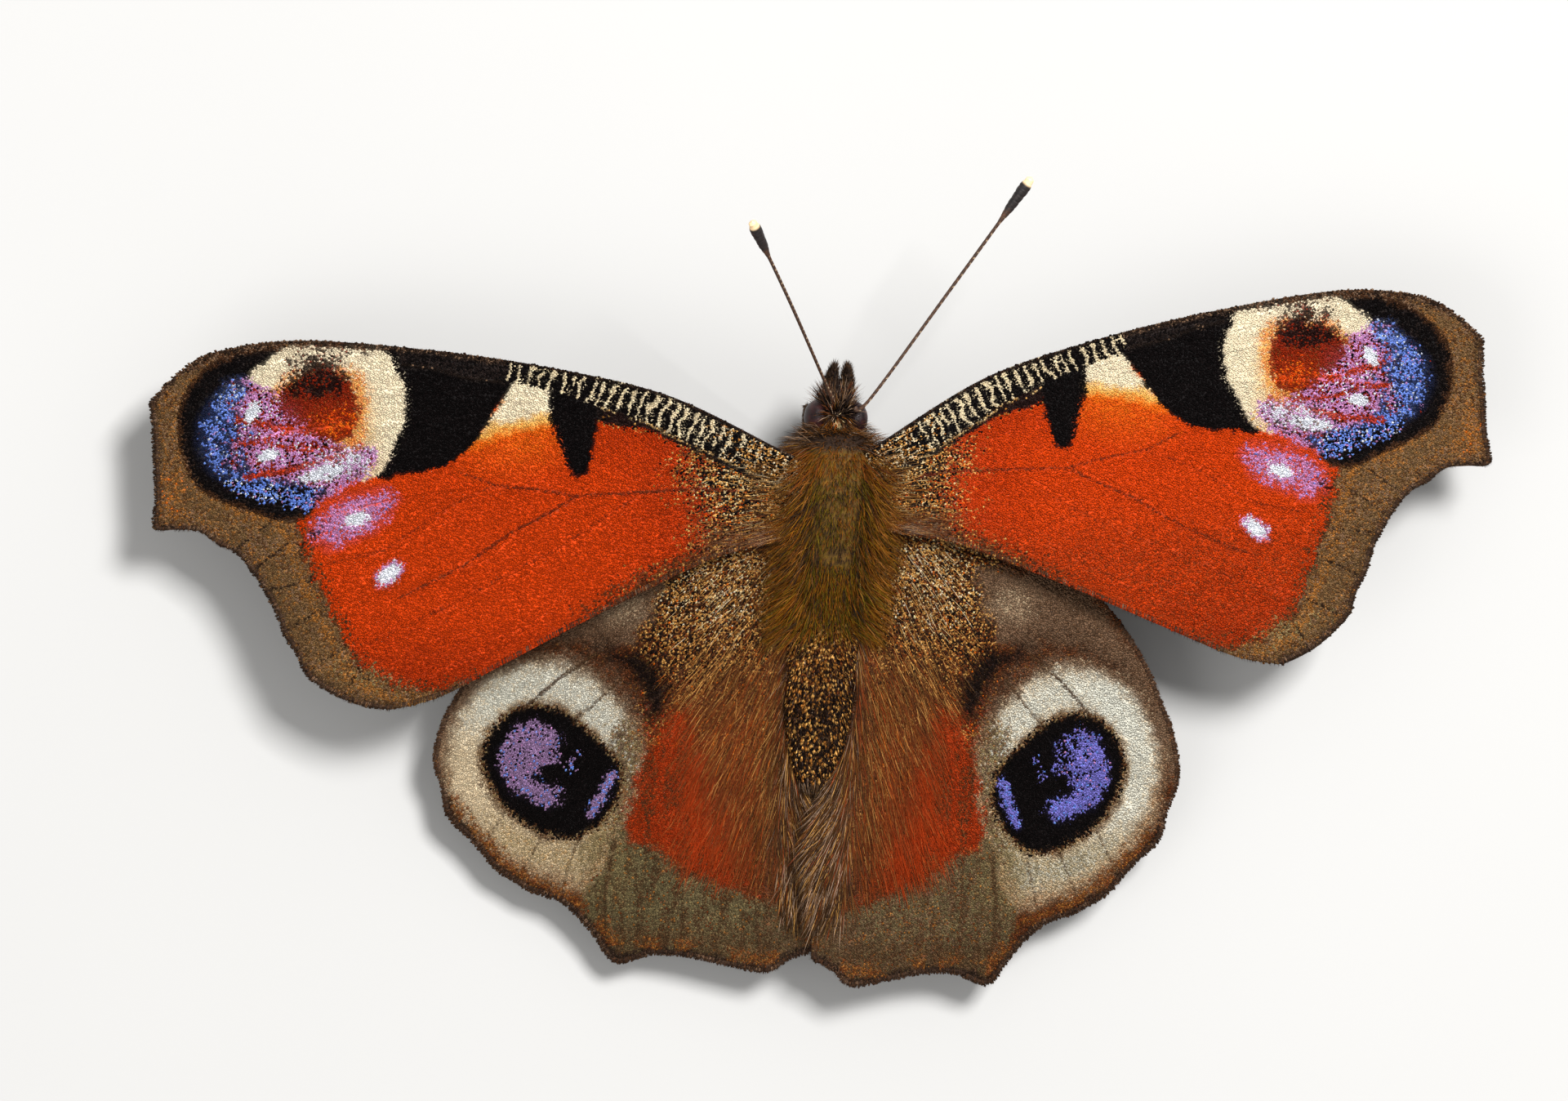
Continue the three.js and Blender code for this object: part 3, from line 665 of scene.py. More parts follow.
    def eyespot(self) -> None:
        """The lilac inside, blue over black outwards, with red-brown streaks."""
        x, y = self.x, self.y
        outline = (
            (21.35, -4.4), (22.1, -4.95), (22.6, -5.9), (23.5, -6.5), (24.6, -7.2), (25.6, -7.55),
            (26.6, -7.6), (27.4, -7.9), (28.3, -7.7), (29.2, -7.0), (29.75, -6.0), (29.8, -4.9),
            (29.4, -3.9), (28.5, -3.1), (27.2, -2.6), (26.0, -2.3), (25.0, -2.0), (24.4, -1.95),
            (23.4, -2.45), (22.4, -3.0), (21.5, -3.5),
        )
        lower = (
            (24.3, -2.6), (25.2, -2.9), (26.4, -3.0), (27.6, -3.2), (28.4, -3.1), (27.6, -2.6),
            (26.2, -2.1), (25.2, -1.85), (24.4, -1.9),
        )
        eye = self.region(outline, 0.2, 0.16, 0.35, 15)
        self.put(eye * (1 - ramp(x, 27.4, 28.8)), P.LILAC)
        wander = 3.6 * ramp(y, -4, -2.4) + 1.4 * (self.noise(0.45, 12) - 0.5)
        outer = eye * ramp(x + wander, 26.5, 28.4)
        self.put(outer, P.BLACK)
        rim = np.clip(0.2 + self.depth(outline) / 0.7, 0, 1)
        density = (0.5 + 0.1 * self.violet - 0.24 * ramp(x, 28.6, 30.0)) * rim
        self.put(outer * density, {P.BLUE: 1, P.LILAC: 0.06, P.WHITE: 0.05})
        upper = self.blob((27.8, -7.35), (0.75, 0.55), 40, 0.3, 0.2)
        self.put(0.55 * upper, {P.BLUE: 1, P.WHITE: 0.3, P.BLACK: 0.3})
        low = self.region(lower, 0.25, 0.15, 0.3, 16)
        self.put(low, P.BLACK)
        self.put(0.5 * low, {P.BLUE: 1, P.WHITE: 0.14, P.LILAC: 0.1}, 1)
        middle = ramp(eye, 0.6, 1) * (1 - outer) * (1 - low)
        self.put(0.42 * middle, {P.RED_BROWN: 1, P.BLACK: 0.7}, 1)
        self.put(0.12 * middle, {P.WHITE: 1, P.LILAC: 1}, 1)
        for line, width, cover in (
            (((22.0, -4.7), (24.0, -5.3), (26.0, -5.7), (28.0, -6.2)), 0.22, 0.75),
            (((22.4, -4.55), (24.4, -4.55), (26.4, -4.9), (28.4, -5.1)), 0.16, 0.6),
            (((22.2, -4.3), (23.8, -4.0), (25.6, -3.6), (27.4, -3.4)), 0.2, 0.8),
            (((24.6, -5.6), (26.2, -5.15), (28.6, -4.9)), 0.14, 0.6),
        ):
            streak = self.along(line, width, 1.3) * (1 - ramp(x, 27.4, 28.4))
            self.put(cover * streak, {P.RED_BROWN: 1, P.RED: 0.8})

    def heart(self) -> None:
        """The red-brown heart of the eyespot, black above and yellow beside."""
        x, y = self.x, self.y
        fringe = (
            (21.55, -7.4), (21.8, -8.05), (22.6, -8.35), (24.4, -8.3), (25.6, -7.85),
            (25.9, -7.2), (25, -7), (23.5, -6.5), (23.2, -5), (22.3, -4.6), (21.7, -5.1),
            (21.55, -6.2),
        )
        heart = (
            (22.1, -7.3), (22.5, -7.9), (23.3, -8.15), (24.3, -8.1), (25.1, -7.75), (25.75, -7.1),
            (25.7, -6.4), (25.0, -5.9), (24.4, -5.5), (23.7, -5.05), (22.9, -4.85), (22.3, -5.2),
            (22.05, -6.0), (21.95, -6.7),
        )
        cover = self.region(heart, 0.22, 0.15, 0.3, 17)
        glow = self.region(fringe, 0.3, 0.15, 0.3, 18)
        self.put(0.9 * glow, {P.YELLOW: 1, P.ORANGE: 0.8, P.CREAM: 0.2}, 0.5)
        self.put(cover, {P.RED_BROWN: 1, P.RUST: 0.15})
        bright = self.blob((23.2, -5.7), (1.2, 0.85), 0, 0.5, 0.2)
        self.put(0.5 * cover * bright, {P.RED: 1, P.ORANGE: 0.5})
        self.put(0.22 * cover * ramp(x, 24.2, 25.6) * ramp(y, -7.3, -6.3), P.LILAC)
        for centre, radii, turn, amount, seed in (
            ((23.9, -7.6), (1.4, 0.68), 4, 0.96, 3),
            ((23.9, -8.45), (1.15, 0.6), -6, 0.85, 41),
            ((23.3, -9.1), (1.5, 0.42), -3, 0.5, 43),
        ):
            dark = self.blob(centre, radii, turn, 0.36, 0.22, seed)
            self.put(amount * dark, {P.BLACK: 1, P.RED_BROWN: 0.25, P.CHAR: 0.3, P.UMBER: 0.15})

    def leading_edge(self) -> None:
        """The brown rim of the leading edge outside the bars."""
        rim = ramp(-self.front, -0.32, -0.16) * (self.x > 15) * 0.85
        self.put(rim, {P.DARK_BROWN: 1, P.TAUPE: 0.35, P.BLACK: 0.5})
        dust = ramp(-self.front, -0.55, -0.2) * (self.x > 21.5) * 0.55
        dust = dust * (self.noise(0.5, 45) > 0.35)
        self.put(dust, {P.UMBER: 1, P.TAUPE: 0.6, P.BLACK: 0.4})

    def white_spots(self) -> None:
        """The row of white spots across the eyespot and below it."""
        patch = (
            (20.4, -2.2), (21.1, -2.5), (22.0, -2.35), (23.0, -2.05), (23.9, -1.55), (24.4, -0.9),
            (24.35, -0.25), (23.6, 0.05), (22.6, -0.15), (21.7, -0.6), (21.0, -1.15),
            (20.5, -1.65),
        )
        dull = {P.TAUPE: 1, P.BLACK: 0.5, P.LILAC: 0.6}
        for amount, blob, mix in (
            (1, ((27.0, -6.45), (0.3, 0.45), -25, 0.08, 0.06), P.WHITE),
            (1, ((26.25, -4.38), (0.55, 0.24), 10, 0.07, 0.05), P.WHITE),
            (0.55, ((23.1, -3.75), (1.5, 0.62), 10, 0.35, 0.2, 46), {P.LILAC: 0.45, P.WHITE: 1}),
            (1, ((23.85, -3.38), (1.1, 0.3), 10, 0.1, 0.07, 47), P.WHITE),
            (0.85, ((22.3, -4.0), (0.5, 0.3), 5, 0.2, 0.1, 48), {P.WHITE: 1, P.LILAC: 0.3}),
            (0.3, ((22.9, -3.5), (1.7, 0.8), 10, 0.35, 0.2, 49), dull),
            (0.66, None, {P.LILAC: 1, P.BLUE: 0.05, P.RED_BROWN: 0.1}),
            (0.6, ((22.35, -1.2), (0.75, 0.42), 18, 0.3, 0.1), {P.WHITE: 1, P.LILAC: 1}),
            (1, ((22.35, -1.2), (0.52, 0.29), 18, 0.08, 0.06), P.WHITE),
            (0.6, ((24.45, -0.35), (0.4, 0.3), 40, 0.25, 0.2), P.BLACK),
            (0.7, ((20.95, 1.45), (0.78, 0.48), 38, 0.1, 0.08), {P.LILAC: 1, P.WHITE: 0.5}),
            (1, ((20.95, 1.45), (0.52, 0.3), 38, 0.08, 0.06), P.WHITE),
        ):
            spot = self.blob(*blob) if blob else self.region(patch, 0.35, 0.15, 0.35, 19)
            self.put(amount * spot, mix)

    def veins(self) -> None:
        """The veins that show as thin dark lines."""
        for line, width, cover in (
            (((4.5, -1.7), (6.5, -1.9), (9, -1.85), (12, -1.8)), 0.075, 0.7),
            (((12, -1.8), (13.5, -2.15), (15.8, -2.5), (17.4, -3.2)), 0.065, 0.65),
            (((12, -1.8), (13.2, -1.15), (15, -0.3), (17.4, 1.2), (20.5, 2.6)), 0.07, 0.7),
            (((15.8, -2.5), (18, -1.6), (21, 0.3), (24, 0.9)), 0.065, 0.4),
            (((9, -1.8), (13, 0.6), (19, 3.4), (23, 5.0)), 0.06, 0.3),
        ):
            self.put(cover * self.along(line, width), {P.UMBER: 1, P.RED_BROWN: 1}, 0.5)
        for line in (
            ((24.5, 1.6), (26.9, 1.95)), ((24.2, 3.0), (26.0, 3.95)),
            ((23.4, 4.9), (25.0, 5.8)), ((26.3, -1.3), (28.2, 0.1)),
            ((22.7, 6.1), (23.2, 7.1)), ((25.6, -0.2), (27.4, 1.1)),
        ):
            self.put(0.55 * self.along(line, 0.08, 1.3), P.DARK_BROWN)

    def dark_edge(self) -> None:
        """The dark line at the very edge."""
        dark = {P.EDGE: 1, P.DARK_BROWN: 0.8, P.TAUPE: 0.25}
        self.put(0.85 * ramp(-self.edge, -0.36, -0.08), dark)
        self.put(0.35 * ramp(-self.edge, -0.8, -0.3), P.EDGE, 0.5)


class HindwingMarkings(WingMarkings):
    """Brown and red field, olive edge, and the pale ring with its black disc."""

    grain = 0.4

    DISC: tuple[Point, ...] = (
        (9.2, 12.6), (9.4, 11.65), (10.0, 10.9), (10.8, 10.2), (11.6, 9.5), (12.5, 9.1),
        (13.5, 9.0), (14.4, 9.4), (15.15, 10.2), (15.5, 11.2), (15.4, 12.2), (14.95, 13.2),
        (14.3, 14.0), (13.4, 14.7), (12.4, 15.2), (11.4, 15.35), (10.6, 15.0), (9.9, 14.3),
        (9.4, 13.5),
    )
    RING: tuple[Point, ...] = (
        (8.15, 12.8), (8.1, 11.6), (8.3, 10.2), (8.75, 8.9), (9.7, 7.7), (10.8, 6.8),
        (12.2, 6.25), (13.8, 6.45), (15.3, 7.1), (16.6, 8.2), (17.4, 9.7), (17.75, 11.4),
        (17.5, 13.3), (16.75, 14.7), (15.5, 16.1), (14.1, 17.1), (12.4, 17.7), (10.8, 18.2),
        (9.7, 17.4), (9.2, 15.8), (8.7, 14.4),
    )

    def steps(self) -> list[Callable[[], None]]:
        """The parts of the pattern, lowest first."""
        return [
            self.field, self.specks, self.leading_area, self.ring, self.comma,
            self.red_field, self.olive_edge, self.veins, self.dark_edge, self.disc,
        ]

    def field(self) -> None:
        """Brown with rust, redder towards the ring."""
        x, y = self.x, self.y
        self.put(1.0, {P.UMBER: 1, P.RUST: 0.8, P.DARK_BROWN: 0.3})
        self.put(0.42, {P.RUST: 1, P.GOLDEN: 0.2, P.UMBER: 0.7}, 0.9)
        self.put(0.3 * (self.noise(0.3, 53, 6) > 0.5), {P.DARK_BROWN: 1, P.UMBER: 1}, 0.7)
        warm = ramp(x, 4.5, 6.8) * ramp(y, 7, 10) * (1 - ramp(x, 8.2, 9.2))
        self.put(0.5 * warm, {P.FIELD_RED: 1, P.GOLDEN: 0.3}, 0.8)
        self.put(0.35 * ramp(3.2 - x, 0, 1.5), {P.TAUPE: 0.6, P.UMBER: 1})

    def specks(self) -> None:
        """Straw and gold specks near the body."""
        x, y = self.x, self.y
        area = ramp(9.4 - x, 0, 1.4) * ramp(x, 1.6, 2.6) * ramp(y, 0.2, 1.2)
        near = area * ramp(9.4 - y - 0.35 * np.abs(x - 5.6), 0, 3.6)
        self.put(0.9 * near, {P.UMBER: 0.7, P.DARK_BROWN: 1, P.BLACK: 1.4}, 0.85)
        pale = near * self.blob((5.2, 2.6), (2.2, 2.2), 0, 1.2, 0.3, 50)
        self.put(0.22 * near, {P.RUST: 1.3, P.DARK_BROWN: 0.3}, 1)
        self.put(0.27 * near, {P.GOLD: 1, P.GOLDEN: 0.4}, 1)
        self.put(0.16 * pale, {P.STRAW: 1, P.CREAM: 0.4}, 1)
        far = area * ramp(16.5 - y, 0, 7) * (1 - 0.7 * near)
        self.put(0.18 * far, {P.GOLD: 0.6, P.GOLDEN: 1, P.ORANGE: 0.2}, 1)

    def leading_area(self) -> None:
        """The grey-brown leading part, darker above the ring."""
        area = (
            (7.6, 2.4), (9.2, 2.3), (11.5, 2.4), (14.2, 4.2), (17.2, 7.8), (18.6, 11.5),
            (17.9, 11.6), (16.9, 9.2), (15.5, 7.4), (13.6, 6.2), (11.9, 5.7), (10.2, 6.0),
            (9.0, 5.6), (8.4, 4.6), (8.0, 3.4),
        )
        shade = (
            (9.6, 5.2), (11.2, 5.0), (13.4, 5.4), (15.6, 6.7), (17.1, 8.8), (17.8, 11.0),
            (16.9, 9.6), (15.2, 7.7), (13.4, 6.6), (11.6, 6.3), (10.0, 6.5),
        )
        grey = {P.TAUPE: 1.3, P.UMBER: 0.45, P.BARK: 0.3}
        self.put(self.region(area, 0.35, 0.25, 0.5, 55), grey)
        self.put(0.42 * self.region(shade, 0.3, 0.2, 0.4, 56), {P.DARK_BROWN: 1, P.UMBER: 0.8})
        self.put(0.65 * self.blob((9.5, 3.9), (1.0, 0.8), 0, 0.5, 0.2), {P.TAUPE: 1, P.SAND: 0.45})

    def ring(self) -> None:
        """The pale ring, pearly above, sandy beside and olive below."""
        x, y = self.x, self.y
        ring = self.region(self.RING, 0.35, 0.2, 0.5, 57)
        inner, outer = -self.depth(self.DISC, 4), self.depth(self.RING, 2)
        across = inner / np.maximum(inner + np.maximum(outer, 0), 0.1)
        across = across + 0.16 * (self.noise(0.35, 67) - 0.5)
        angle = np.arctan2(y - 12.2, x - 12.4)
        low = ramp(y, 13.0, 16.0)
        self.put(ring, {P.TAUPE: 1, P.UMBER: 0.6, P.SAND: 0.2})
        bright = ring * ramp(across, 0.02, 0.34) * (1 - ramp(across, 0.5, 0.98))
        self.put(0.97 * bright, {P.SAND: 1, P.CREAM: 0.45})
        self.put(bright * ramp(-np.sin(angle + 0.35), -0.25, 0.55), {P.PEARL: 1, P.SAND: 0.25})
        self.put(bright * low * 0.8, {P.PALE_OLIVE: 1, P.SAND: 0.9, P.GOLD: 0.3})
        if self.violet:
            self.put(0.75 * bright * ramp(x, 12.5, 14.5) * (1 - low), P.PEARL)
            self.put(0.7 * bright * low, {P.PALE_OLIVE: 1, P.PEARL: 0.8})
        olive = ring * low * ramp(11.8 - x, 0, 2) * 0.8
        self.put(olive, {P.PALE_OLIVE: 1, P.MOSS: 0.5, P.GOLDEN: 0.15})
        side = ring * ramp(10.6 - x, 0, 1.6) * ramp(y, 8.6, 10.2)
        self.put(0.8 * side, {P.PALE_OLIVE: 1, P.TAUPE: 0.6, P.UMBER: 0.7, P.GOLDEN: 0.3}, 0.7)
        warm = ring * ramp(across, 0.5, 0.95) * ramp(y, 9.5, 12.5)
        self.put(0.55 * warm, {P.GOLDEN: 1, P.SAND: 1})
        self.put(0.6 * ring * np.clip(1 - inner / 0.5, 0, 1), {P.PALE_OLIVE: 1, P.GOLDEN: 0.5})
        self.put(0.75 * ring * np.clip(1.1 - inner / 0.3, 0, 1), {P.UMBER: 1, P.BLACK: 0.8}, 1)
        tips = ramp(-self.edge, -1.5, -0.5) * (self.noise(0.5, 68) > 0.45)
        tips = ring * ramp(y, 14, 15.5) * tips
        self.put(0.6 * tips, {P.GOLDEN: 1, P.RUST: 0.8, P.UMBER: 0.3}, 0.7)

    def comma(self) -> None:
        """The dark comma that hooks round the ring's inner corner."""
        comma = (
            (7.3, 9.0), (7.2, 7.9), (7.5, 6.9), (8.2, 6.2), (9.2, 5.95), (10.5, 5.95), (9.9, 6.5),
            (9.2, 7.0), (8.7, 7.7), (8.35, 8.5), (7.95, 9.3),
        )
        shade = (
            (8.3, 9.6), (8.4, 8.4), (9.2, 7.2), (10.4, 6.4), (12, 6.2), (10.8, 7), (9.8, 7.8),
            (9, 9),
        )
        self.put(0.95 * self.region(comma, 0.45, 0.2, 0.4, 58), {P.BLACK: 1.4, P.DARK_BROWN: 0.6})
        self.put(0.5 * self.region(shade, 0.4, 0.2, 0.4, 59), {P.DARK_BROWN: 1, P.TAUPE: 0.8})

    def red_field(self) -> None:
        """The red patch between the ring and the body."""
        x, y = self.x, self.y
        outline = (
            (6.3, 8.6), (7.4, 9.8), (8.1, 11.4), (8.55, 13.0), (8.95, 14.8), (8.6, 15.4),
            (7.4, 15.7), (6.3, 16.5), (5.0, 17.1), (3.8, 17.6), (2.4, 18.1), (2.2, 17.2),
            (2.6, 15.5), (3.4, 13.5), (4.6, 11.5), (5.4, 9.8),
        )
        red = self.region(outline, 0.3, 0.25, 0.5, 60)
        fade = 0.35 + 0.65 * ramp(x + 0.25 * (y - 12), 4.2, 6.2)
        streak = self.noise(0.26, 52, 7)
        self.put(0.95 * red * fade, {P.FIELD_RED: 1, P.RUST: 0.2}, 0.6)
        self.put(0.5 * red * self.blob((5.0, 16), (2.8, 1.4), -20, 0.5, 0.2), P.FIELD_RED, 0.6)
        self.put(0.5 * red * (streak > 0.55), {P.RUST: 1, P.UMBER: 0.8}, 0.8)
        self.put(0.45 * red * ramp(5.0 - x, 0, 2.5), {P.RUST: 1, P.UMBER: 0.6}, 0.7)

    def olive_edge(self) -> None:
        """The olive band along the rear edge."""
        x, y = self.x, self.y
        outline = (
            (9.0, 14.9), (8.6, 15.6), (7.4, 15.9), (6.3, 16.7), (5.0, 17.3), (3.8, 17.8),
            (2.2, 18.3), (0.2, 18.4), (-1.5, 19), (-1.5, 23), (9, 23), (10.5, 19), (9.9, 17.2),
            (9.4, 15.9),
        )
        band = self.region(outline, 0.3, 0.2, 0.5, 61)
        self.put(band, {P.MOSS: 1, P.BARK: 0.35, P.PALE_OLIVE: 0.25}, 0.6)
        self.put(0.55 * band * (self.noise(0.2, 51, 6) > 0.52), {P.BARK: 1, P.UMBER: 0.8}, 0.7)
        if self.violet:
            self.put(0.4 * band, {P.TAUPE: 1, P.BARK: 1, P.RUST: 0.3}, 0.6)
        self.put(0.06 * band, {P.GOLDEN: 1, P.RUST: 0.6}, 1)
        self.put(0.6 * band * ramp(y, 18.6, 20.6), {P.BARK: 1, P.UMBER: 0.5})
        self.put(0.4 * band * ramp(3.5 - x, 0, 2.5), {P.BARK: 1, P.TAUPE: 0.4})
        self.put(0.35 * band * ramp(x, 7.6, 9.2) * ramp(19.5 - y, 0, 2), P.PALE_OLIVE)

    def veins(self) -> None:
        """The veins that show as thin dark lines."""
        for line, width, cover in (
            (((10.6, 6.2), (12.2, 7.4), (14.2, 9.4)), 0.09, 0.8),
            (((9.4, 7.4), (10.6, 8.7), (11.9, 9.9)), 0.08, 0.6),
            (((8.7, 9.6), (9.4, 10.3), (10.0, 11)), 0.07, 0.4),
            (((14.4, 14.2), (15.6, 16.3)), 0.08, 0.5),
            (((12.6, 15.3), (13.6, 17.3)), 0.08, 0.55),
            (((11.0, 15.5), (11.6, 17.8)), 0.08, 0.55),
            (((9.3, 15.5), (9.6, 18), (9.6, 20.3)), 0.13, 0.7),
            (((7.8, 15.8), (7.9, 18.5), (7.7, 20.8)), 0.09, 0.55),
            (((6.0, 17), (6.0, 20.9)), 0.08, 0.5),
            (((4.2, 17.8), (4.3, 21)), 0.07, 0.35),
            (((2.2, 18.4), (2.1, 21.2)), 0.1, 0.4),
        ):
            self.put(cover * self.along(line, width), {P.BARK: 1, P.UMBER: 0.7})

    def dark_edge(self) -> None:
        """The dark edge with an orange-brown line inside it."""
        lower = ramp(self.y, 12.0, 14.6)
        patchy = self.noise(0.6, 62)
        near = ramp(-self.edge, -1.5, -0.3)
        self.put(0.7 * lower * near * (patchy > 0.4), {P.GOLDEN: 1, P.RUST: 1, P.UMBER: 0.6}, 0.7)
        dark = lower * ramp(-self.edge, -0.75 + 0.3 * patchy, -0.12)
        self.put(dark, {P.DARK_BROWN: 1, P.EDGE: 0.8, P.BLACK: 0.35}, 0.7)
        self.put(0.75 * ramp(-self.edge, -0.3, -0.06), {P.EDGE: 1, P.UMBER: 0.5, P.TAUPE: 0.25})

    def disc(self) -> None:
        """The black disc and the shining patches in it."""
        inner = -self.depth(self.DISC, 4)
        ragged = 0.5 - inner / 0.3 + (self.noise(0.25, 63) - 0.5) * 0.6
        self.put(ragged, P.BLACK, 0.8)
        shine = P.VIOLET if self.violet else P.MAUVE
        big = (
            (12.1, 10.3), (12.6, 9.85), (13.6, 9.65), (14.35, 10.0), (14.8, 10.8), (14.9, 11.8),
            (14.6, 12.8), (14.1, 13.35), (13.4, 13.2), (13.1, 12.5), (12.7, 11.9), (12.2, 11.7),
            (12.05, 11.0),
        )
        low = (
            (12.0, 12.9), (12.6, 12.95), (13.4, 12.6), (13.9, 13.2), (13.3, 13.55), (12.9, 13.85),
            (12.3, 13.9), (12.0, 13.5),
        )
        crescent = (
            (9.35, 12.15), (9.7, 12.0), (10.0, 12.6), (10.35, 13.3), (10.65, 14.1), (10.5, 14.45),
            (10.05, 13.95), (9.65, 13.2),
        )
        bright = ramp(self.region(big, 0.4, 0.16, 0.3, 64), 0.22, 0.9)
        self.put(0.88 * bright, {shine: 1, P.BLUE: 0.08, P.LILAC: 0.05}, 0.95)
        fade = 0.12 + 0.5 * self.violet * ramp(15.9 - self.x - 0.2 * self.y, -0.1, 1.2)
        self.put(fade * self.region(big, 0.3), P.BLACK, 1)
        self.put(0.82 * self.region(low, 0.25, 0.12, 0.25, 65), {shine: 1, P.BLUE: 0.1}, 0.95)
        self.put(0.8 * self.region(crescent, 0.14, 0.1, 0.25, 66), {shine: 1, P.BLUE: 0.3}, 0.95)
        for centre, radii in (((11.5, 11.75), (0.28, 0.3)), ((11.15, 11.2), (0.16, 0.2))):
            self.put(0.5 * self.blob(centre, radii, 0, 0.12, 0.15), {shine: 1, P.BLUE: 0.3}, 1)


def underside(points: Array, seed: int, margin: Array) -> Array:
    """Colours of a wing's underside, near black with fine brown lines.

    Args:
        points: Plan points.
        seed: Seeds the chance.
        margin: The wing's outer edge.

    Returns:
        A linear colour for each point.
    """
    d = Dusting(points, seed, P.CHAR)
    lines = cloud(rows_of(d.x * 0.35, d.y), 0.28, 71)
    d.put(0.75 * (lines > 0.56), {P.DARK_BROWN: 1, P.UMBER: 0.7})
    d.put(0.5 * (d.noise(2.2, 72) > 0.6), {P.BLACK: 1, P.DARK_BROWN: 0.5})
    edge = line_distance(d.p, margin)
    d.put(0.5 * np.clip(1 - np.abs(edge - 2.6) / 1.6, 0, 1), {P.BARK: 1, P.UMBER: 1, P.GREY: 0.2})
    d.put(0.6 * ramp(-edge, -0.6, -0.1), {P.BLACK: 1, P.EDGE: 0.6})
    return d.colour


# ---- finishes


class Value:
    """A shader number on which Python's arithmetic adds Math nodes."""

    def __init__(self, shader: Shader, socket: Socket) -> None:
        """Wraps an output socket."""
        self.shader = shader
        self.socket = socket

    def _math(self, operation: str, a: Value | float, b: Value | float) -> Value:
        """Adds one Math node."""
        made = self.shader.node("ShaderNodeMath", {"operation": operation}, {0: a, 1: b})
        return Value(self.shader, made.outputs[0])

    def __add__(self, other: Value | float) -> Value:
        """Self plus other."""
        return self._math("ADD", self, other)

    def __sub__(self, other: Value | float) -> Value:
        """Self minus other."""
        return self._math("SUBTRACT", self, other)

    def __rsub__(self, other: Value | float) -> Value:
        """Other minus self."""
        return self._math("SUBTRACT", other, self)

    def __mul__(self, other: Value | float) -> Value:
        """Self times other."""
        return self._math("MULTIPLY", self, other)

    __radd__ = __add__
    __rmul__ = __mul__


class Shader:
    """A material's node tree, with one method that adds a node to it."""

    def __init__(self, name: str) -> None:
        """Starts a material with only its output."""
        self.material = bpy.data.materials.new(name)
        self.material.use_nodes = True
        self.tree = self.material.node_tree
        self.tree.nodes.clear()

    def node(
        self, kind: str, settings: dict[str, Any] | None = None,
        inputs: dict[int | str, Any] | None = None,
    ) -> bpy.types.Node:
        """Adds a node.

        Args:
            kind: The node's type.
            settings: Its own settings, set first; stops are a ramp's.
            inputs: Values or links for its sockets, by number or name.

        Returns:
            The node.
        """
        made = self.tree.nodes.new(kind)
        for key, value in (settings or {}).items():
            if key == "stops":
                stops = made.color_ramp.elements
                while len(stops) < len(value):
                    stops.new(0.5)
                for stop, (at, colour) in zip(stops, value):
                    stop.position, stop.color = at, (*colour, 1.0)
            else:
                setattr(made, key, value)
        for key, value in (inputs or {}).items():
            if isinstance(value, Value):
                value = value.socket
            if isinstance(value, Socket):
                self.tree.links.new(value, made.inputs[key])
            else:
                made.inputs[key].default_value = value
        return made

    def place(self) -> Socket:
        """The point on the object that is being coloured."""
        return self.node("ShaderNodeTexCoord").outputs["Object"]

    def noise(self, grain: float) -> Value:
        """Noise whose blotches are about grain millimetres wide."""
        inputs = {"Vector": self.place(), "Scale": 1 / (grain * MM), "Detail": 2.0}
        return Value(self, self.node("ShaderNodeTexNoise", None, inputs).outputs[0])

    def scaled(self, colour: Socket, factor: Value) -> Socket:
        """A colour times a number."""
        inputs = {0: colour, 3: factor}
        return self.node("ShaderNodeVectorMath", {"operation": "SCALE"}, inputs).outputs[0]

    def bump(self, height: Value, depth: float) -> Socket:
        """A bumped normal, depth millimetres deep."""
        inputs = {"Height": height, "Distance": depth * MM, "Strength": 1.0}
        return self.node("ShaderNodeBump", None, inputs).outputs[0]

    def graded(self, stops: Sequence[tuple[float, Spot]], place: Value) -> Socket:
        """A colour that changes between stops of a place and a linear colour."""
        made = self.node("ShaderNodeValToRGB", {"stops": stops}, {"Fac": place})
        return made.outputs[0]

    def finish(self, **inputs: Any) -> Material:
        """Closes the tree with a surface shader.

        Args:
            inputs: Its sockets, with underscores for spaces.

        Returns:
            The material.
        """
        sockets = {key.replace("_", " "): value for key, value in inputs.items()}
        surface = self.node("ShaderNodeBsdfPrincipled", None, sockets)
        self.node("ShaderNodeOutputMaterial", None, {"Surface": surface.outputs[0]})
        return self.material


@dataclass(frozen=True)
class PigmentFinish:
    """A surface whose colour is its own pigment, unevenly laid.

    Attributes:
        name: The material's name.
        roughness: Lowest roughness.
        unevenness: How much rougher it gets in places.
        grain: Width of its finest blotches in millimetres.
        mottle: How much they vary the brightness.
        relief: Depth of its bump in millimetres.
        specular: Strength of its gloss.
        sheen: Strength of its soft edge light.
    """

    BROAD = 24  # how much wider its broad blotches are than its finest
    name: str
    roughness: float = 0.5
    unevenness: float = 0.2
    grain: float = 0.05
    mottle: float = 0.3
    relief: float = 0.01
    specular: float = 0.3
    sheen: float = 0.0

    def make(self) -> Material:
        """Builds the material."""
        s = Shader(self.name)
        fine, broad = s.noise(self.grain), s.noise(self.grain * self.BROAD)
        tint = s.node("ShaderNodeAttribute", {"attribute_name": TINT_NAME}).outputs["Color"]
        bright = 1 + self.mottle * (fine + 0.6 * broad - 0.8)
        return s.finish(
            Base_Color=s.scaled(tint, bright),
            Roughness=self.roughness + self.unevenness * fine,
            Normal=s.bump(fine, self.relief),
            Specular_IOR_Level=self.specular,
            Sheen_Weight=self.sheen,
            Sheen_Roughness=0.5,
        )


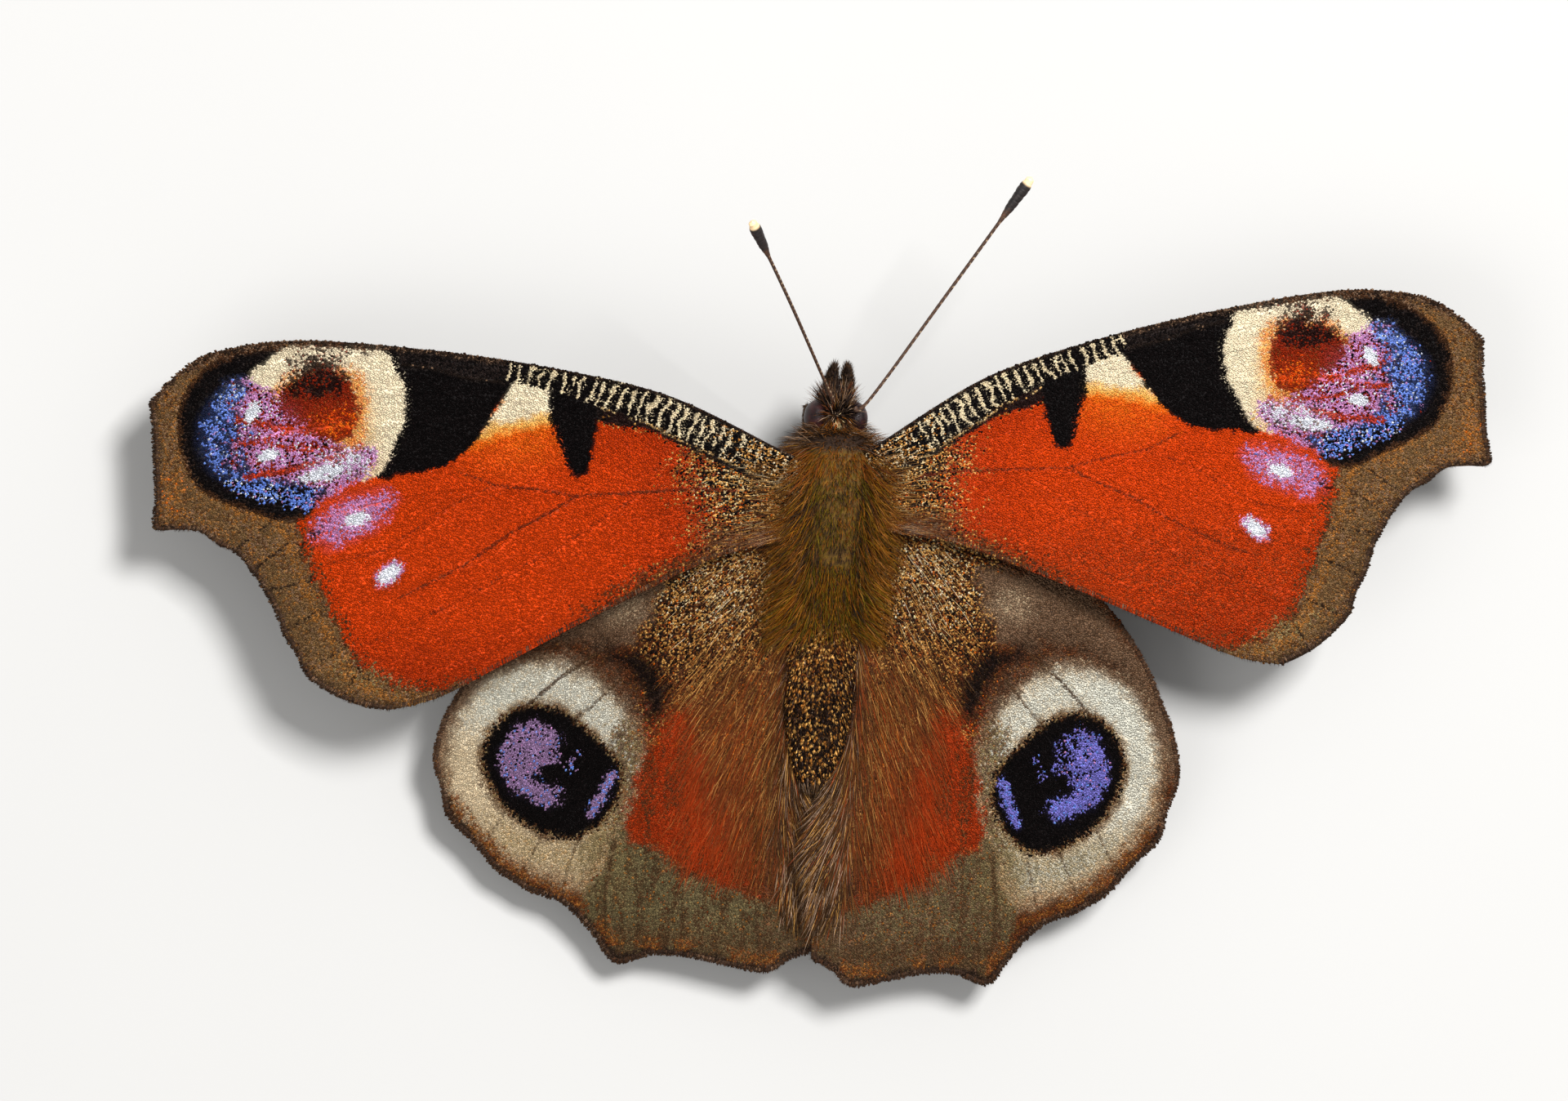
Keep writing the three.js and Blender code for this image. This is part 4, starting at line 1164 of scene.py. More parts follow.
@dataclass(frozen=True)
class FacetedEyeFinish:
    """A compound eye: dark red-brown glass beads in close rows.

    Attributes:
        facet: Width of one bead in millimetres.
        tones: Places from dark to light and their display colours.
    """

    facet: float = 0.03
    tones: tuple[tuple[float, Spot], ...] = (
        (0.3, (12, 5, 6)), (0.5, (34, 13, 15)), (0.72, (60, 28, 26)),
    )

    def make(self) -> Material:
        """Builds the material."""
        s = Shader("eye_facets")
        inputs = {"Vector": s.place(), "Scale": 1 / (self.facet * MM), "Randomness": 0.25}
        cells = s.node("ShaderNodeTexVoronoi", {"feature": "F1"}, inputs)
        away = Value(s, cells.outputs["Distance"])
        place = s.noise(0.5) + 0.25 * away - 0.1
        stops = [(at, tuple(linear(rgb))) for at, rgb in self.tones]
        return s.finish(
            Base_Color=s.graded(stops, place),
            Roughness=0.22 + 0.3 * away,
            Normal=s.bump(1 - away, 0.012),
            Specular_IOR_Level=0.2,
            Coat_Weight=0.03,
        )


@dataclass(frozen=True)
class FloorFinish:
    """A plain pale studio floor."""

    def make(self) -> Material:
        """Builds the material."""
        s = Shader("studio_floor")
        tone = s.graded([(0.0, (0.43, 0.425, 0.415)), (1.0, (0.47, 0.465, 0.455))], s.noise(60.0))
        return s.finish(Base_Color=tone, Roughness=0.9, Specular_IOR_Level=0.1)


class Finish(Enum):
    """The finishes that the pieces share."""

    SCALES = PigmentFinish("wing_scales", 0.38, 0.3, 0.03, 0.25, 0.003, 0.06)
    MEMBRANE = PigmentFinish("wing_membrane", 0.5, 0.3, 0.09, 0.9, 0.03, 0.08)
    HAIR = PigmentFinish("body_hair", 0.35, 0.2, 0.05, 0.4, 0.003, 0.06)
    SKIN = PigmentFinish("body_skin", 0.55, 0.3, 0.08, 0.7, 0.03, 0.1)
    HORN = PigmentFinish("horn", 0.35, 0.25, 0.06, 0.5, 0.012, 0.4)
    EYE = FacetedEyeFinish()
    FLOOR = FloorFinish()

    @cached_property
    def material(self) -> Material:
        """The finish as a material, made once."""
        return self.value.make()


# ---- the pieces


def own(piece: Piece, nodes: Sequence[str] = ()) -> Piece:
    """Sets a piece on the butterfly's body.

    Args:
        piece: The piece, in its place.
        nodes: The solids that it stands for.

    Returns:
        The piece.
    """
    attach(piece, "root")
    if nodes:
        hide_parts(*nodes)
    LOG.info("%s: %d faces", piece.name, len(piece.data.polygons))
    return piece


def linked(name: str, mesh: bpy.types.Mesh, finish: Finish) -> Piece:
    """Makes a mesh an object in the scene, in one finish."""
    mesh.materials.append(finish.material)
    piece = bpy.data.objects.new(name, mesh)
    bpy.context.scene.collection.objects.link(piece)
    return piece


def tint_vertices(mesh: bpy.types.Mesh, colours: Array) -> None:
    """Stores a linear colour for each vertex."""
    data = np.ones((len(mesh.vertices), 4), np.float32)
    data[:, :3] = np.clip(colours, 0, 1)
    layer = mesh.color_attributes.new(TINT_NAME, "FLOAT_COLOR", "POINT")
    layer.data.foreach_set("color", data.ravel())


class Coat:
    """Flakes and hairs gathered as arrays, then made one joined mesh.

    Every tuft is a closed solid of few faces. Its patch on the map lies at its
    root's place on an unwrap of the skin.
    """

    FLAKE = np.array([[0, 2, 1], [2, 3, 1], [0, 1, 3], [0, 3, 2]])
    FLAKE_PATCH = np.array([[0, -0.5], [0.5, 0.1], [-0.5, 0.1], [0, 0.5]])
    FLAKE_WIDEST = 0.6  # where along it a flake is widest
    FLAKE_ABOVE, FLAKE_BELOW = 0.006, 0.008  # its thickness about its root
    HAIR_TAPER, HAIR_FLAT = 0.35, 0.7  # how far a hair thins, and how flat it is
    ROOT_TONE, TONE_RISE, TIP_TONE = 0.62, 0.5, 1.25  # painted shade at a hair's root, fading along it, and painted light at its tip

    def __init__(self, name: str) -> None:
        """Starts an empty coat."""
        self.name, self.count = name, 0
        self.points, self.faces, self.maps, self.tints = [], [], [], []

    def _add(self, rows: Array, shape: Array, patch: Array, tint: Array, at: Array) -> None:
        """Adds tufts that share one shape.

        Args:
            rows: Points of each tuft, in millimetres.
            shape: Faces of one tuft.
            patch: Where each of a tuft's points lies in its patch.
            tint: A colour for each point of each tuft.
            at: Where each tuft's patch lies on the map.
        """
        number, size = rows.shape[:2]
        first = self.count + np.arange(number)[:, None, None] * size
        self.faces.append((shape[None] + first).reshape(-1, 3))
        self.points.append(rows.reshape(-1, 3))
        self.maps.append((at[:, None] + patch[None] * PATCH).reshape(-1, 2))
        self.tints.append(tint.reshape(-1, 3))
        self.count += number * size

    def flakes(
        self, roots: Array, along: Array, up: Array, length: Array, width: Array, lift: Array,
        tint: Array, at: Array,
    ) -> None:
        """Adds flat scales, each widest towards its tip.

        Args:
            roots: Where they grow.
            along: Which way they point.
            up: The surface's normal.
            length: How long they are.
            width: How wide they are.
            lift: How far their tips stand off.
            tint: Their colours.
            at: Their places on the map.
        """
        along, up = unit(along), unit(up)
        side = unit(np.cross(up, along))
        long, wide, high = length[:, None], width[:, None], lift[:, None]
        middle = roots + along * long * self.FLAKE_WIDEST
        middle = middle + up * (high * self.FLAKE_WIDEST + self.FLAKE_ABOVE)
        base, tip = roots - up * self.FLAKE_BELOW, roots + along * long + up * high
        rows = np.stack([base, middle + side * wide / 2, middle - side * wide / 2, tip], 1)
        self._add(rows, self.FLAKE, self.FLAKE_PATCH, np.repeat(tint[:, None], 4, 1), at)

    def hairs(
        self, roots: Array, along: Array, up: Array, length: Array, width: Array, bend: Array,
        tint: Array, at: Array, rings: int = 2,
    ) -> None:
        """Adds fine curved hairs that taper to a point, with painted shade at each root and
        painted light at each tip.

        Args:
            roots: Where they grow.
            along: Which way they start.
            up: The surface's normal.
            length: How long they are.
            width: How thick they are at the root.
            bend: How far each tip is carried aside, as a share of its length.
            tint: Their colours.
            at: Their places on the map.
            rings: How many rings of three points each has below its tip.
        """
        along, up = unit(along), unit(up)
        side = unit(np.cross(up, along))
        over = np.cross(along, side)
        rows, patch, shade = [], [], []
        for ring in range(rings):
            t = ring / rings
            centre = roots + length[:, None] * (along * t + bend * t * t)
            for k in range(3):
                angle = 2 * math.pi * k / 3
                cos, sin = math.cos(angle), math.sin(angle)
                reach = width[:, None] / 2 * (1 - self.HAIR_TAPER * t)
                rows.append(centre + reach * (side * cos + self.HAIR_FLAT * over * sin))
                patch.append([0.5 * cos * (1 - t), t - 0.5 + 0.15 * sin])
                shade.append(self.ROOT_TONE + self.TONE_RISE * t)
        rows.append(roots + length[:, None] * (along + bend))
        patch.append([0, 0.5])
        shade.append(self.TIP_TONE)
        faces = [[2, 1, 0]]
        for ring in range(rings - 1):
            for k in range(3):
                a, b = 3 * ring + k, 3 * ring + (k + 1) % 3
                faces += [[a, b, b + 3], [a, b + 3, a + 3]]
        last = 3 * (rings - 1)
        faces += [[last + k, last + (k + 1) % 3, 3 * rings] for k in range(3)]
        # Each hair's colour, darkened by painted shade at its root and lightened by painted light
        # at its tip.
        tones = tint[:, None] * np.array(shade)[None, :, None]
        self._add(np.stack(rows, 1), np.array(faces), np.array(patch), tones, at)

    def build(self, finish: Finish) -> Piece:
        """Makes the joined mesh, in one finish."""
        points, faces = np.vstack(self.points), np.vstack(self.faces)
        mesh = bpy.data.meshes.new(self.name)
        mesh.vertices.add(len(points))
        mesh.vertices.foreach_set("co", placed(points).astype(np.float32).ravel())
        mesh.loops.add(faces.size)
        mesh.loops.foreach_set("vertex_index", faces.astype(np.int32).ravel())
        mesh.polygons.add(len(faces))
        mesh.polygons.foreach_set("loop_start", np.arange(0, faces.size, 3, dtype=np.int32))
        mesh.update(calc_edges=True)
        layer = mesh.uv_layers.new(name=MAP_NAME)
        places = np.clip(np.vstack(self.maps)[faces.ravel()], 0, 1)
        layer.data.foreach_set("uv", places.astype(np.float32).ravel())
        tint_vertices(mesh, np.vstack(self.tints))
        return linked(self.name, mesh, finish)


Place = Callable[[Array, Array], Array]


class Shell:
    """One piece made of closed sleeves, each a sphere's rings carried to a shape."""

    def __init__(self, name: str) -> None:
        """Starts an empty piece."""
        self.name, self.bm, self.tints = name, bmesh.new(), []

    def sleeve(self, place: Place, tint: Place, around: int, along: int) -> Shell:
        """Adds a closed sleeve.

        Args:
            place: Gives points in millimetres from shares of its length and angles round it.
            tint: Gives colours from the same.
            around: How many sides it has.
            along: How many rings it has.

        Returns:
            The shell itself.
        """
        ball = bmesh.ops.create_uvsphere(self.bm, u_segments=around, v_segments=along, radius=1.0)
        made = ball["verts"]
        x, y, z = np.array([v.co for v in made], float).T
        share, angle = np.arccos(np.clip(-z, -1, 1)) / math.pi, np.arctan2(y, x)
        for vertex, point in zip(made, placed(place(share, angle))):
            vertex.co = point
        self.tints.append(np.broadcast_to(tint(share, angle), (len(made), 3)))
        return self

    def build(self, finish: Finish) -> Piece:
        """Makes the mesh, with its faces outwards and smooth."""
        bmesh.ops.recalc_face_normals(self.bm, faces=self.bm.faces[:])
        for face in self.bm.faces:
            face.smooth = True
        mesh = bpy.data.meshes.new(self.name)
        self.bm.to_mesh(mesh)
        self.bm.free()
        tint_vertices(mesh, np.vstack(self.tints))
        return linked(self.name, mesh, finish)


def plain(rgb: Sequence[float]) -> Place:
    """A tint that is one colour all over."""
    colour = linear(rgb)
    return lambda share, angle: np.tile(colour, (len(share), 1))


def tapered(*stops: tuple[float, float]) -> Callable[[Array], Array]:
    """A radius that passes smoothly through (share, radius) stops."""
    at, size = zip(*stops)

    def radius(share: Array) -> Array:
        """The radius at each share."""
        i = np.clip(np.searchsorted(at, share, side="right") - 1, 0, len(at) - 2)
        a, b = np.array(at)[i], np.array(at)[i + 1]
        r, q = np.array(size)[i], np.array(size)[i + 1]
        t = np.clip((share - a) / (b - a), 0, 1)
        return r + (q - r) * t * t * (3 - 2 * t)

    return radius


# ---- the wings


class Side(Enum):
    """Which side of the insect."""

    LEFT = 1
    RIGHT = -1

    @property
    def label(self) -> str:
        """The side as names have it."""
        return self.name.lower()


@dataclass
class Wing:
    """One wing: its membrane, its scales, its fringe and its long hairs.

    Attributes:
        name: The solid that it stands for.
        plan: Its outline.
        side: Which side it is on.
        height: Height of its upper face at the hinge.
        sweep: How far it is turned forwards, in degrees.
        pitch: How far its rear hangs, in degrees.
        stretch: How much larger than the plan it is, across and along.
        lead: How far it sits forwards.
        hollow: How deep its outer edge curves in, between which ends.
        scales: How many scales its upper face has.
        violet: Whether its red, on a forewing, carries painted shade towards the rear, and its
            eyespot shines bluer.
        inward: How far its markings sit towards the root.
        depth: How far the membrane lies below the upper face.
        thickness: How thick the membrane is.
        overlap: How far one hindwing's edge lies over the other's.
        hairs: How many long hairs it has at most.
        seed: Seeds its chance.
    """

    VEIN_CORE = (0.055, 0.13)  # height and width of a vein's ridge
    VEIN_FOOT = (0.035, 0.7)
    SLACK, SUNK = 0.05, 0.06  # how far the skin sags at random, and everywhere
    CELLS = (120, 80)  # the membrane's faces along and across
    MEMBRANE_TONE = 0.7  # painted shade on the membrane under its scales, as a share of its markings' brightness
    FLAKE_SIZE = (0.19, 0.125)  # usual length and width of a scale
    RIM, RIM_WIDTH = 0.45, 0.05  # how thin and how wide its rim is, as shares
    UNDER_VEINS = 0.6  # how far its underside follows the veins
    SET_IN = 0.6  # how much of a fringe hair lies inside the edge
    TRIES = 24  # places drawn for each long hair

    name: str
    plan: WingPlan
    side: Side
    height: float
    sweep: float
    pitch: float
    stretch: Point
    lead: float
    hollow: tuple[float, int, float]
    scales: int = 42000
    violet: bool = False
    inward: Point = (0.0, 0.0)
    depth: float = 0.07
    thickness: float = 0.12
    overlap: float = 0.24
    hairs: int = 3600
    seed: int = 1

    @property
    def hind(self) -> bool:
        """Whether it is a hindwing."""
        return self.plan is HINDWING

    def margin(self) -> Array:
        """The outer edge with its scallops."""
        ends = np.array(self.plan.ends, float)
        deep, first, last = self.hollow
        chord = ends[int(last)] - ends[first]
        chord /= np.linalg.norm(chord)
        share = np.clip((np.arange(len(ends)) - first) / (last - first), 0, 1)
        ends += np.array([-chord[1], chord[0]]) * (deep * np.sin(np.pi * share))[:, None]
        line = [ends[0]]
        for a, b, curve in zip(ends[:-1], ends[1:], self.plan.scallop):
            run = b - a
            line += [(a + b) / 2 + np.array([-run[1], run[0]]) / np.linalg.norm(run) * curve, b]
        return np.array(line)

    def outline(self) -> Array:
        """The whole outline as one loop."""
        s = np.linspace(0, 1, 90)
        there = [by_length(line, s)[:-1] for line in (self.plan.costa, self.margin())]
        back = [by_length(line, s)[::-1][:-1] for line in (self.plan.inner, self.plan.root)]
        return np.vstack(there + back)

    def patch(self, s: Array, t: Array) -> Array:
        """Plan points from shares of the way out and across."""
        front, back = by_length(self.plan.costa, s), by_length(self.plan.inner, s)
        near, far = by_length(self.plan.root, t), by_length(self.margin(), t)
        u, v = s[:, None], t[:, None]
        root, rim = np.array(self.plan.root), self.margin()
        corners = (1 - u) * (1 - v) * root[0] + (1 - u) * v * root[-1]
        corners = corners + u * (1 - v) * rim[0] + u * v * rim[-1]
        return (1 - v) * front + v * back + (1 - u) * near + u * far - corners

    def surface(self, p: Array) -> Array:
        """The upper face over plan points, in millimetres."""
        plan, (across, down) = self.plan, self.stretch
        out = p[:, 0] - plan.hinge
        drop = out * math.tan(math.radians(plan.droop)) + plan.bend * (out**2 + p[:, 1] ** 2)
        y = plan.pivot + (p[:, 1] - plan.pivot) * down - self.lead
        a, side = math.radians(self.sweep), self.side.value
        x, y = turned(p[:, 0] * across, y, math.cos(a), math.sin(a))
        tilt = math.tan(math.radians(self.pitch)) * (y - 1)
        seam, off = 0.0, np.maximum(p[:, 0], 0)
        if plan.seamed:
            seam = -0.3 * ramp(y, 12, 20) * np.exp(-off / 4)
            seam = seam - side * self.overlap * ramp(y, 11.2, 13.2) * np.exp(-off / 1.5)
        return rows_of(side * x + seam, y, self.height - drop - tilt)

    def frame(self, p: Array) -> tuple[Array, Array, Array]:
        """The two plan directions on the surface, and its upward normal."""
        step = 0.02
        ex = self.surface(p + [step, 0]) - self.surface(p - [step, 0])
        ey = self.surface(p + [0, step]) - self.surface(p - [0, step])
        up = unit(np.cross(ex, ey)) * self.side.value
        return ex / (2 * step), ey / (2 * step), up

    def relief(self, p: Array) -> Array:
        """Height of the veins and the slack between them."""
        ridge = np.zeros(len(p))
        for vein in self.plan.veins:
            d = line_distance(p, by_length(vein, np.linspace(0, 1, 24)))
            for high, wide in (self.VEIN_CORE, self.VEIN_FOOT):
                ridge = np.maximum(ridge, high * np.exp(-((d / wide) ** 2)))
        return ridge + self.SLACK * (cloud(p, 2.6, 81 + self.seed) - 0.5) - self.SUNK

    def root(self, p: Array) -> Array:
        """Points on the membrane's upper face."""
        _, _, up = self.frame(p)
        return self.surface(p) + up * (self.relief(p) - self.depth)[:, None]

    def markings(self, p: Array) -> Array:
        """Colours of the upper face over plan points."""
        inward = self.inward[0] * (1 - ramp(p[:, 0], 27, 32.5)) * ramp(p[:, 0], 1, 6)
        shift = rows_of(inward, np.full(len(p), self.inward[1]))
        kind = HindwingMarkings if self.hind else ForewingMarkings
        edge, front = line_distance(p, self.margin()), line_distance(p, self.plan.costa)
        return kind(p + shift, self.seed, edge, front, self.violet).colour

    def map_place(self, p: Array) -> Array:
        """Places on the map of plan points."""
        low, high = self.outline().min(0), self.outline().max(0)
        return 0.015 + 0.97 * np.clip((p - low) / (high - low), 0, 1)

    def build_membrane(self) -> Piece:
        """Builds the thin two-faced membrane with raised veins."""
        bm = bmesh.new()
        bmesh.ops.create_grid(bm, x_segments=self.CELLS[0], y_segments=self.CELLS[1], size=1.0)
        grid = np.array([v.co for v in bm.verts], float)
        s, t = (grid[:, 0] + 1) / 2, (grid[:, 1] + 1) / 2
        plan = self.patch(s, t)
        _, _, up = self.frame(plan)
        top = self.root(plan)
        rim = np.minimum.reduce([s, 1 - s, t, 1 - t])
        thick = self.thickness * (self.RIM + (1 - self.RIM) * ramp(rim, 0, self.RIM_WIDTH))
        ridge = self.UNDER_VEINS * (self.relief(plan) + self.SUNK)
        under = top - up * (thick + ridge)[:, None]
        upper = bm.verts[:]
        twin = bmesh.ops.duplicate(bm, geom=bm.verts[:] + bm.edges[:] + bm.faces[:])["vert_map"]
        for vertex, point, low in zip(upper, placed(top), placed(under)):
            twin[vertex].co = low
            vertex.co = point
        bmesh.ops.bridge_loops(bm, edges=[e for e in bm.edges if e.is_boundary])
        bmesh.ops.recalc_face_normals(bm, faces=bm.faces[:])
        bm.verts.index_update()
        place, tints = np.zeros((2 * len(upper), 2)), np.zeros((2 * len(upper), 3))
        here = np.array([v.index for v in upper])
        there = np.array([twin[v].index for v in upper])
        place[here] = place[there] = rows_of(0.01 + 0.48 * s, 0.01 + 0.98 * t)
        # Painted shade: the upper face takes the markings darkened, as it lies under the scales.
        tints[here] = self.markings(plan) * self.MEMBRANE_TONE
        tints[there] = underside(plan, self.seed + 5, self.margin())
        layer = bm.loops.layers.uv.new(MAP_NAME)
        lower = set(there.tolist())
        for face in bm.faces:
            face.smooth = True
            below = all(v.index in lower for v in face.verts)
            for loop in face.loops:
                u, v = place[loop.vert.index]
                loop[layer].uv = (u + 0.5 * below, v)
        mesh = bpy.data.meshes.new("membrane_" + self.name)
        bm.to_mesh(mesh)
        bm.free()
        tint_vertices(mesh, tints)
        piece = linked(mesh.name, mesh, Finish.MEMBRANE)
        return own(piece, [self.name])

    @property
    def slot(self) -> str:
        """A slot name for its scales, by its kind."""
        return "hindwing_scales" if self.hind else "forewing_scales"

    def lattice(self) -> Array:
        """Plan points of the scales, in staggered rows inside the outline."""
        outline = self.outline()
        low, high = outline.min(0), outline.max(0)
        x, y = outline.T
        area = 0.5 * abs(np.sum(x * np.roll(y, -1) - y * np.roll(x, -1)))
        step = math.sqrt(area / self.scales / STAGGER)
        rows = np.arange(low[0], high[0], step * STAGGER)
        columns = np.arange(low[1], high[1], step)
        gx, gy = np.meshgrid(rows, columns, indexing="ij")
        gy = gy + (np.arange(len(rows)) % 2)[:, None] * step / 2
        p = rows_of(gx.ravel(), gy.ravel())
        p += np.random.default_rng(self.seed + 20).uniform(-0.26, 0.26, p.shape) * step
        return p[depth_inside(p, outline) > 0.02]

    def lie(self, p: Array) -> Array:
        """Which way scales and hairs point over the plan."""
        return unit(p - ((-2.0, -4.5) if self.hind else (-3.5, -1.0)))

    def carried(self, p: Array, way: Array) -> tuple[Array, Array, Array]:
        """A plan direction on the surface, the way across, and the normal."""
        ex, ey, up = self.frame(p)
        return ex * way[:, :1] + ey * way[:, 1:], ex, up

    def build_scales(self) -> Piece:
        """Builds the upper face's scales and the fringe as one coat."""
        chance = np.random.default_rng(self.seed + 30)
        coat = Coat("scales_" + self.name)
        p = self.lattice()
        turn = chance.normal(0, 0.13, len(p))
        way = rows_of(*turned(*self.lie(p).T, np.cos(turn), np.sin(turn)))
        along, _, up = self.carried(p, way)
        size = chance.uniform(0.85, 1.2, len(p)) * (1 - 0.16 * ramp(-p[:, 0], -8.5, -6))
        lean = chance.normal(0, 0.1, len(p))[:, None]
        long, wide = self.FLAKE_SIZE
        coat.flakes(
            self.root(p) - up * 0.004, along, up + lean * np.cross(up, unit(along)),
            long * size, wide * size, chance.uniform(0.008, 0.03, len(p)),
            self.markings(p), self.map_place(p),
        )
        self.add_fringe(coat, chance)
        return own(coat.build(Finish.SCALES))

    def add_fringe(self, coat: Coat, chance: Chance) -> None:
        """Adds the short hairs along the outer and trailing edges.

        Args:
            coat: The coat that they join.
            chance: Where the random numbers come from.
        """
        for line, number, reach in (
            (self.margin(), 1100, 0.32),
            (np.array(self.plan.inner), 420, 0.4),
            (np.array(self.plan.costa), 360, 0.16),
        ):
            s = chance.random(number)
            edge = by_length(line, s)
            before, after = by_length(line, np.maximum(s - 0.01, 0)), np.minimum(s + 0.01, 1)
            run = unit(by_length(line, after) - before)
            out = rows_of(run[:, 1], -run[:, 0])
            outline = self.outline()
            out *= np.sign(((edge - outline.mean(0)) * out).sum(1))[:, None]
            start = edge - out * reach * self.SET_IN
            kept = depth_inside(start, outline) > 0.5 * self.SET_IN * reach
            start, edge, out = start[kept], edge[kept], out[kept]
            way = unit(out + 0.25 * self.lie(start) + chance.normal(0, 0.07, out.shape))
            along, _, up = self.carried(start, way)
            tint = Dusting(edge, self.seed + 7, {P.DARK_BROWN: 1, P.EDGE: 1.4, P.UMBER: 0.6})
            tint.put(0.3 * (tint.noise(0.4, 91) > 0.55), P.TAUPE)
            coat.hairs(
                self.root(start) + up * 0.01, along, up,
                reach * chance.uniform(0.85, 1.1, len(start)), np.full(len(start), 0.05),
                np.zeros((len(start), 3)), tint.colour, self.map_place(start), rings=1,
            )

    def build_hairs(self) -> Piece:
        """Builds the long hairs of the wing's base, lying along it."""
        chance = np.random.default_rng(self.seed + 40)
        outline = self.outline()
        low, high = outline.min(0), outline.max(0)
        p = chance.uniform(low, high, (self.hairs * self.TRIES, 2))
        p = p[depth_inside(p, outline) > 0.1]
        x, y = p.T
        if self.hind:
            covers = (
                0.26 * ramp(7.4 - x, 0, 3) * ramp(17.6 - y, 0, 2.5) * ramp(y, 3.5, 8),
                0.9 * ramp(2.1 - x, 0, 1.0) * ramp(19 - y, 0, 3) * ramp(y, 3, 5),
                0.08 * ramp(8 - x, 0, 3) * ramp(16 - y, 0, 3),
            )
        else:
            covers = (
                0.5 * ramp(5.2 - x, 0, 2.5) * ramp(y + 3.4, 0, 1.6),
                0.9 * ramp(y + 0.9, 0, 1.0) * ramp(6.6 - x, 0, 2.5),
                0.35 * ramp(0.9 - line_distance(p, self.plan.inner), 0, 0.7) * (x < 19),
            )
        p = p[chance.random(len(p)) < np.maximum.reduce(covers)][: self.hairs]
        x, y = p.T
        way = self.lie(p) + chance.normal(0, 0.12, p.shape)
        tint = HairDusting(p, self.seed + 9, {P.HAIR_BROWN: 1, P.HAIR_RUST: 0.8, P.HAIR_DARK: 0.6})
        fold = np.zeros(len(p))
        if self.hind:
            fold = ramp(2.1 - x, 0, 1.0) * ramp(y, 4, 7)
            tucked = 0.1 if self.side is Side.LEFT else 0.45
            way[:, 0] -= fold * (tucked + 0.4 * ramp(y, 9, 13) * ramp(17 - y, 0, 3))
            tint.put(0.35 * ramp(y, 2, 4), {P.HAIR_RED: 1, P.RUST: 1})
            tint.put(0.8 * ramp(y, 7.5, 10) * ramp(x, 2.2, 3.6), P.HAIR_RED)
            tint.put(0.9 * fold, {P.HAIR_GREY: 0.65, P.HAIR_BROWN: 1.1, P.HAIR_DARK: 1.1})
            tint.put(0.08, P.GOLD)
            long = 1.0 + 0.5 * ramp(y, 3, 8) + 0.6 * fold - 0.3 * ramp(x, 4, 8)
            long = np.minimum(long, 0.8 * (20.6 - y))
        else:
            corner = ramp(y, -0.6, 0.8) * ramp(7 - x, 0, 2)
            tint.put(0.7 * corner, {P.HAIR_GREY: 1, P.HAIR_BROWN: 0.6})
            tint.put(0.3 * ramp(-y, 0.5, 2), {P.HAIR_RUST: 1, P.GOLD: 0.6})
            tint.put(0.85 * ramp(-x, -3.0, -2.3), {P.HAIR_RUST: 1, P.HAIR_GOLD: 1, P.GOLDEN: 0.4})
            long = 0.55 + 0.5 * ramp(5 - x, 0, 3)
        count, (along, across, up) = len(p), self.carried(p, way)
        blend = (0.45 + 0.35 * ramp(x, 2.4, 4.4) - 0.35 * fold)[:, None]
        lift = chance.uniform(0.03, 0.12, count) + 0.2 * fold * ramp(12 - y, 0, 2)
        coat = Coat("hairs_" + self.name)
        coat.hairs(
            self.root(p), along + up * lift[:, None], up,
            long * chance.uniform(0.7, 1.25, count),
            chance.uniform(0.014, 0.026, count) + 0.01 * fold,
            -up * chance.uniform(0.0, 0.1, count)[:, None]
            + np.cross(up, unit(across)) * chance.normal(0, 0.1, count)[:, None],
            tint.colour * (1 - blend) + self.markings(p) * blend, self.map_place(p), rings=3,
        )
        return own(coat.build(Finish.HAIR))

    def build(self) -> None:
        """Builds the whole wing."""
        self.build_membrane()
        self.build_scales()
        self.build_hairs()


def wings() -> list[Wing]:
    """The four wings as the picture's pose has them."""
    return [
        Wing("forewing_left", FOREWING, Side.LEFT, 7.6, 4.85, 0, (1, 1), 0, (-0.3, 4, 9), seed=1),
        Wing(
            "forewing_right", FOREWING, Side.RIGHT, 7.6, -4.85, 0, (1.014, 1.01), 0.15,
            (0.45, 2, 9.5), violet=True, inward=(0.85, 0.1), seed=2,
        ),
        Wing(
            "hindwing_left", HINDWING, Side.LEFT, 6.7, 0, 9.5, (1.01, 0.955), 0, (0, 0, 1),
            hairs=9000, seed=3,
        ),
        Wing(
            "hindwing_right", HINDWING, Side.RIGHT, 6.7, 0, 7.5, (0.985, 1.025), 0, (0, 0, 1),
            violet=True, inward=(0.5, 0.1), hairs=9000, seed=4,
        ),
    ]


# ---- the body


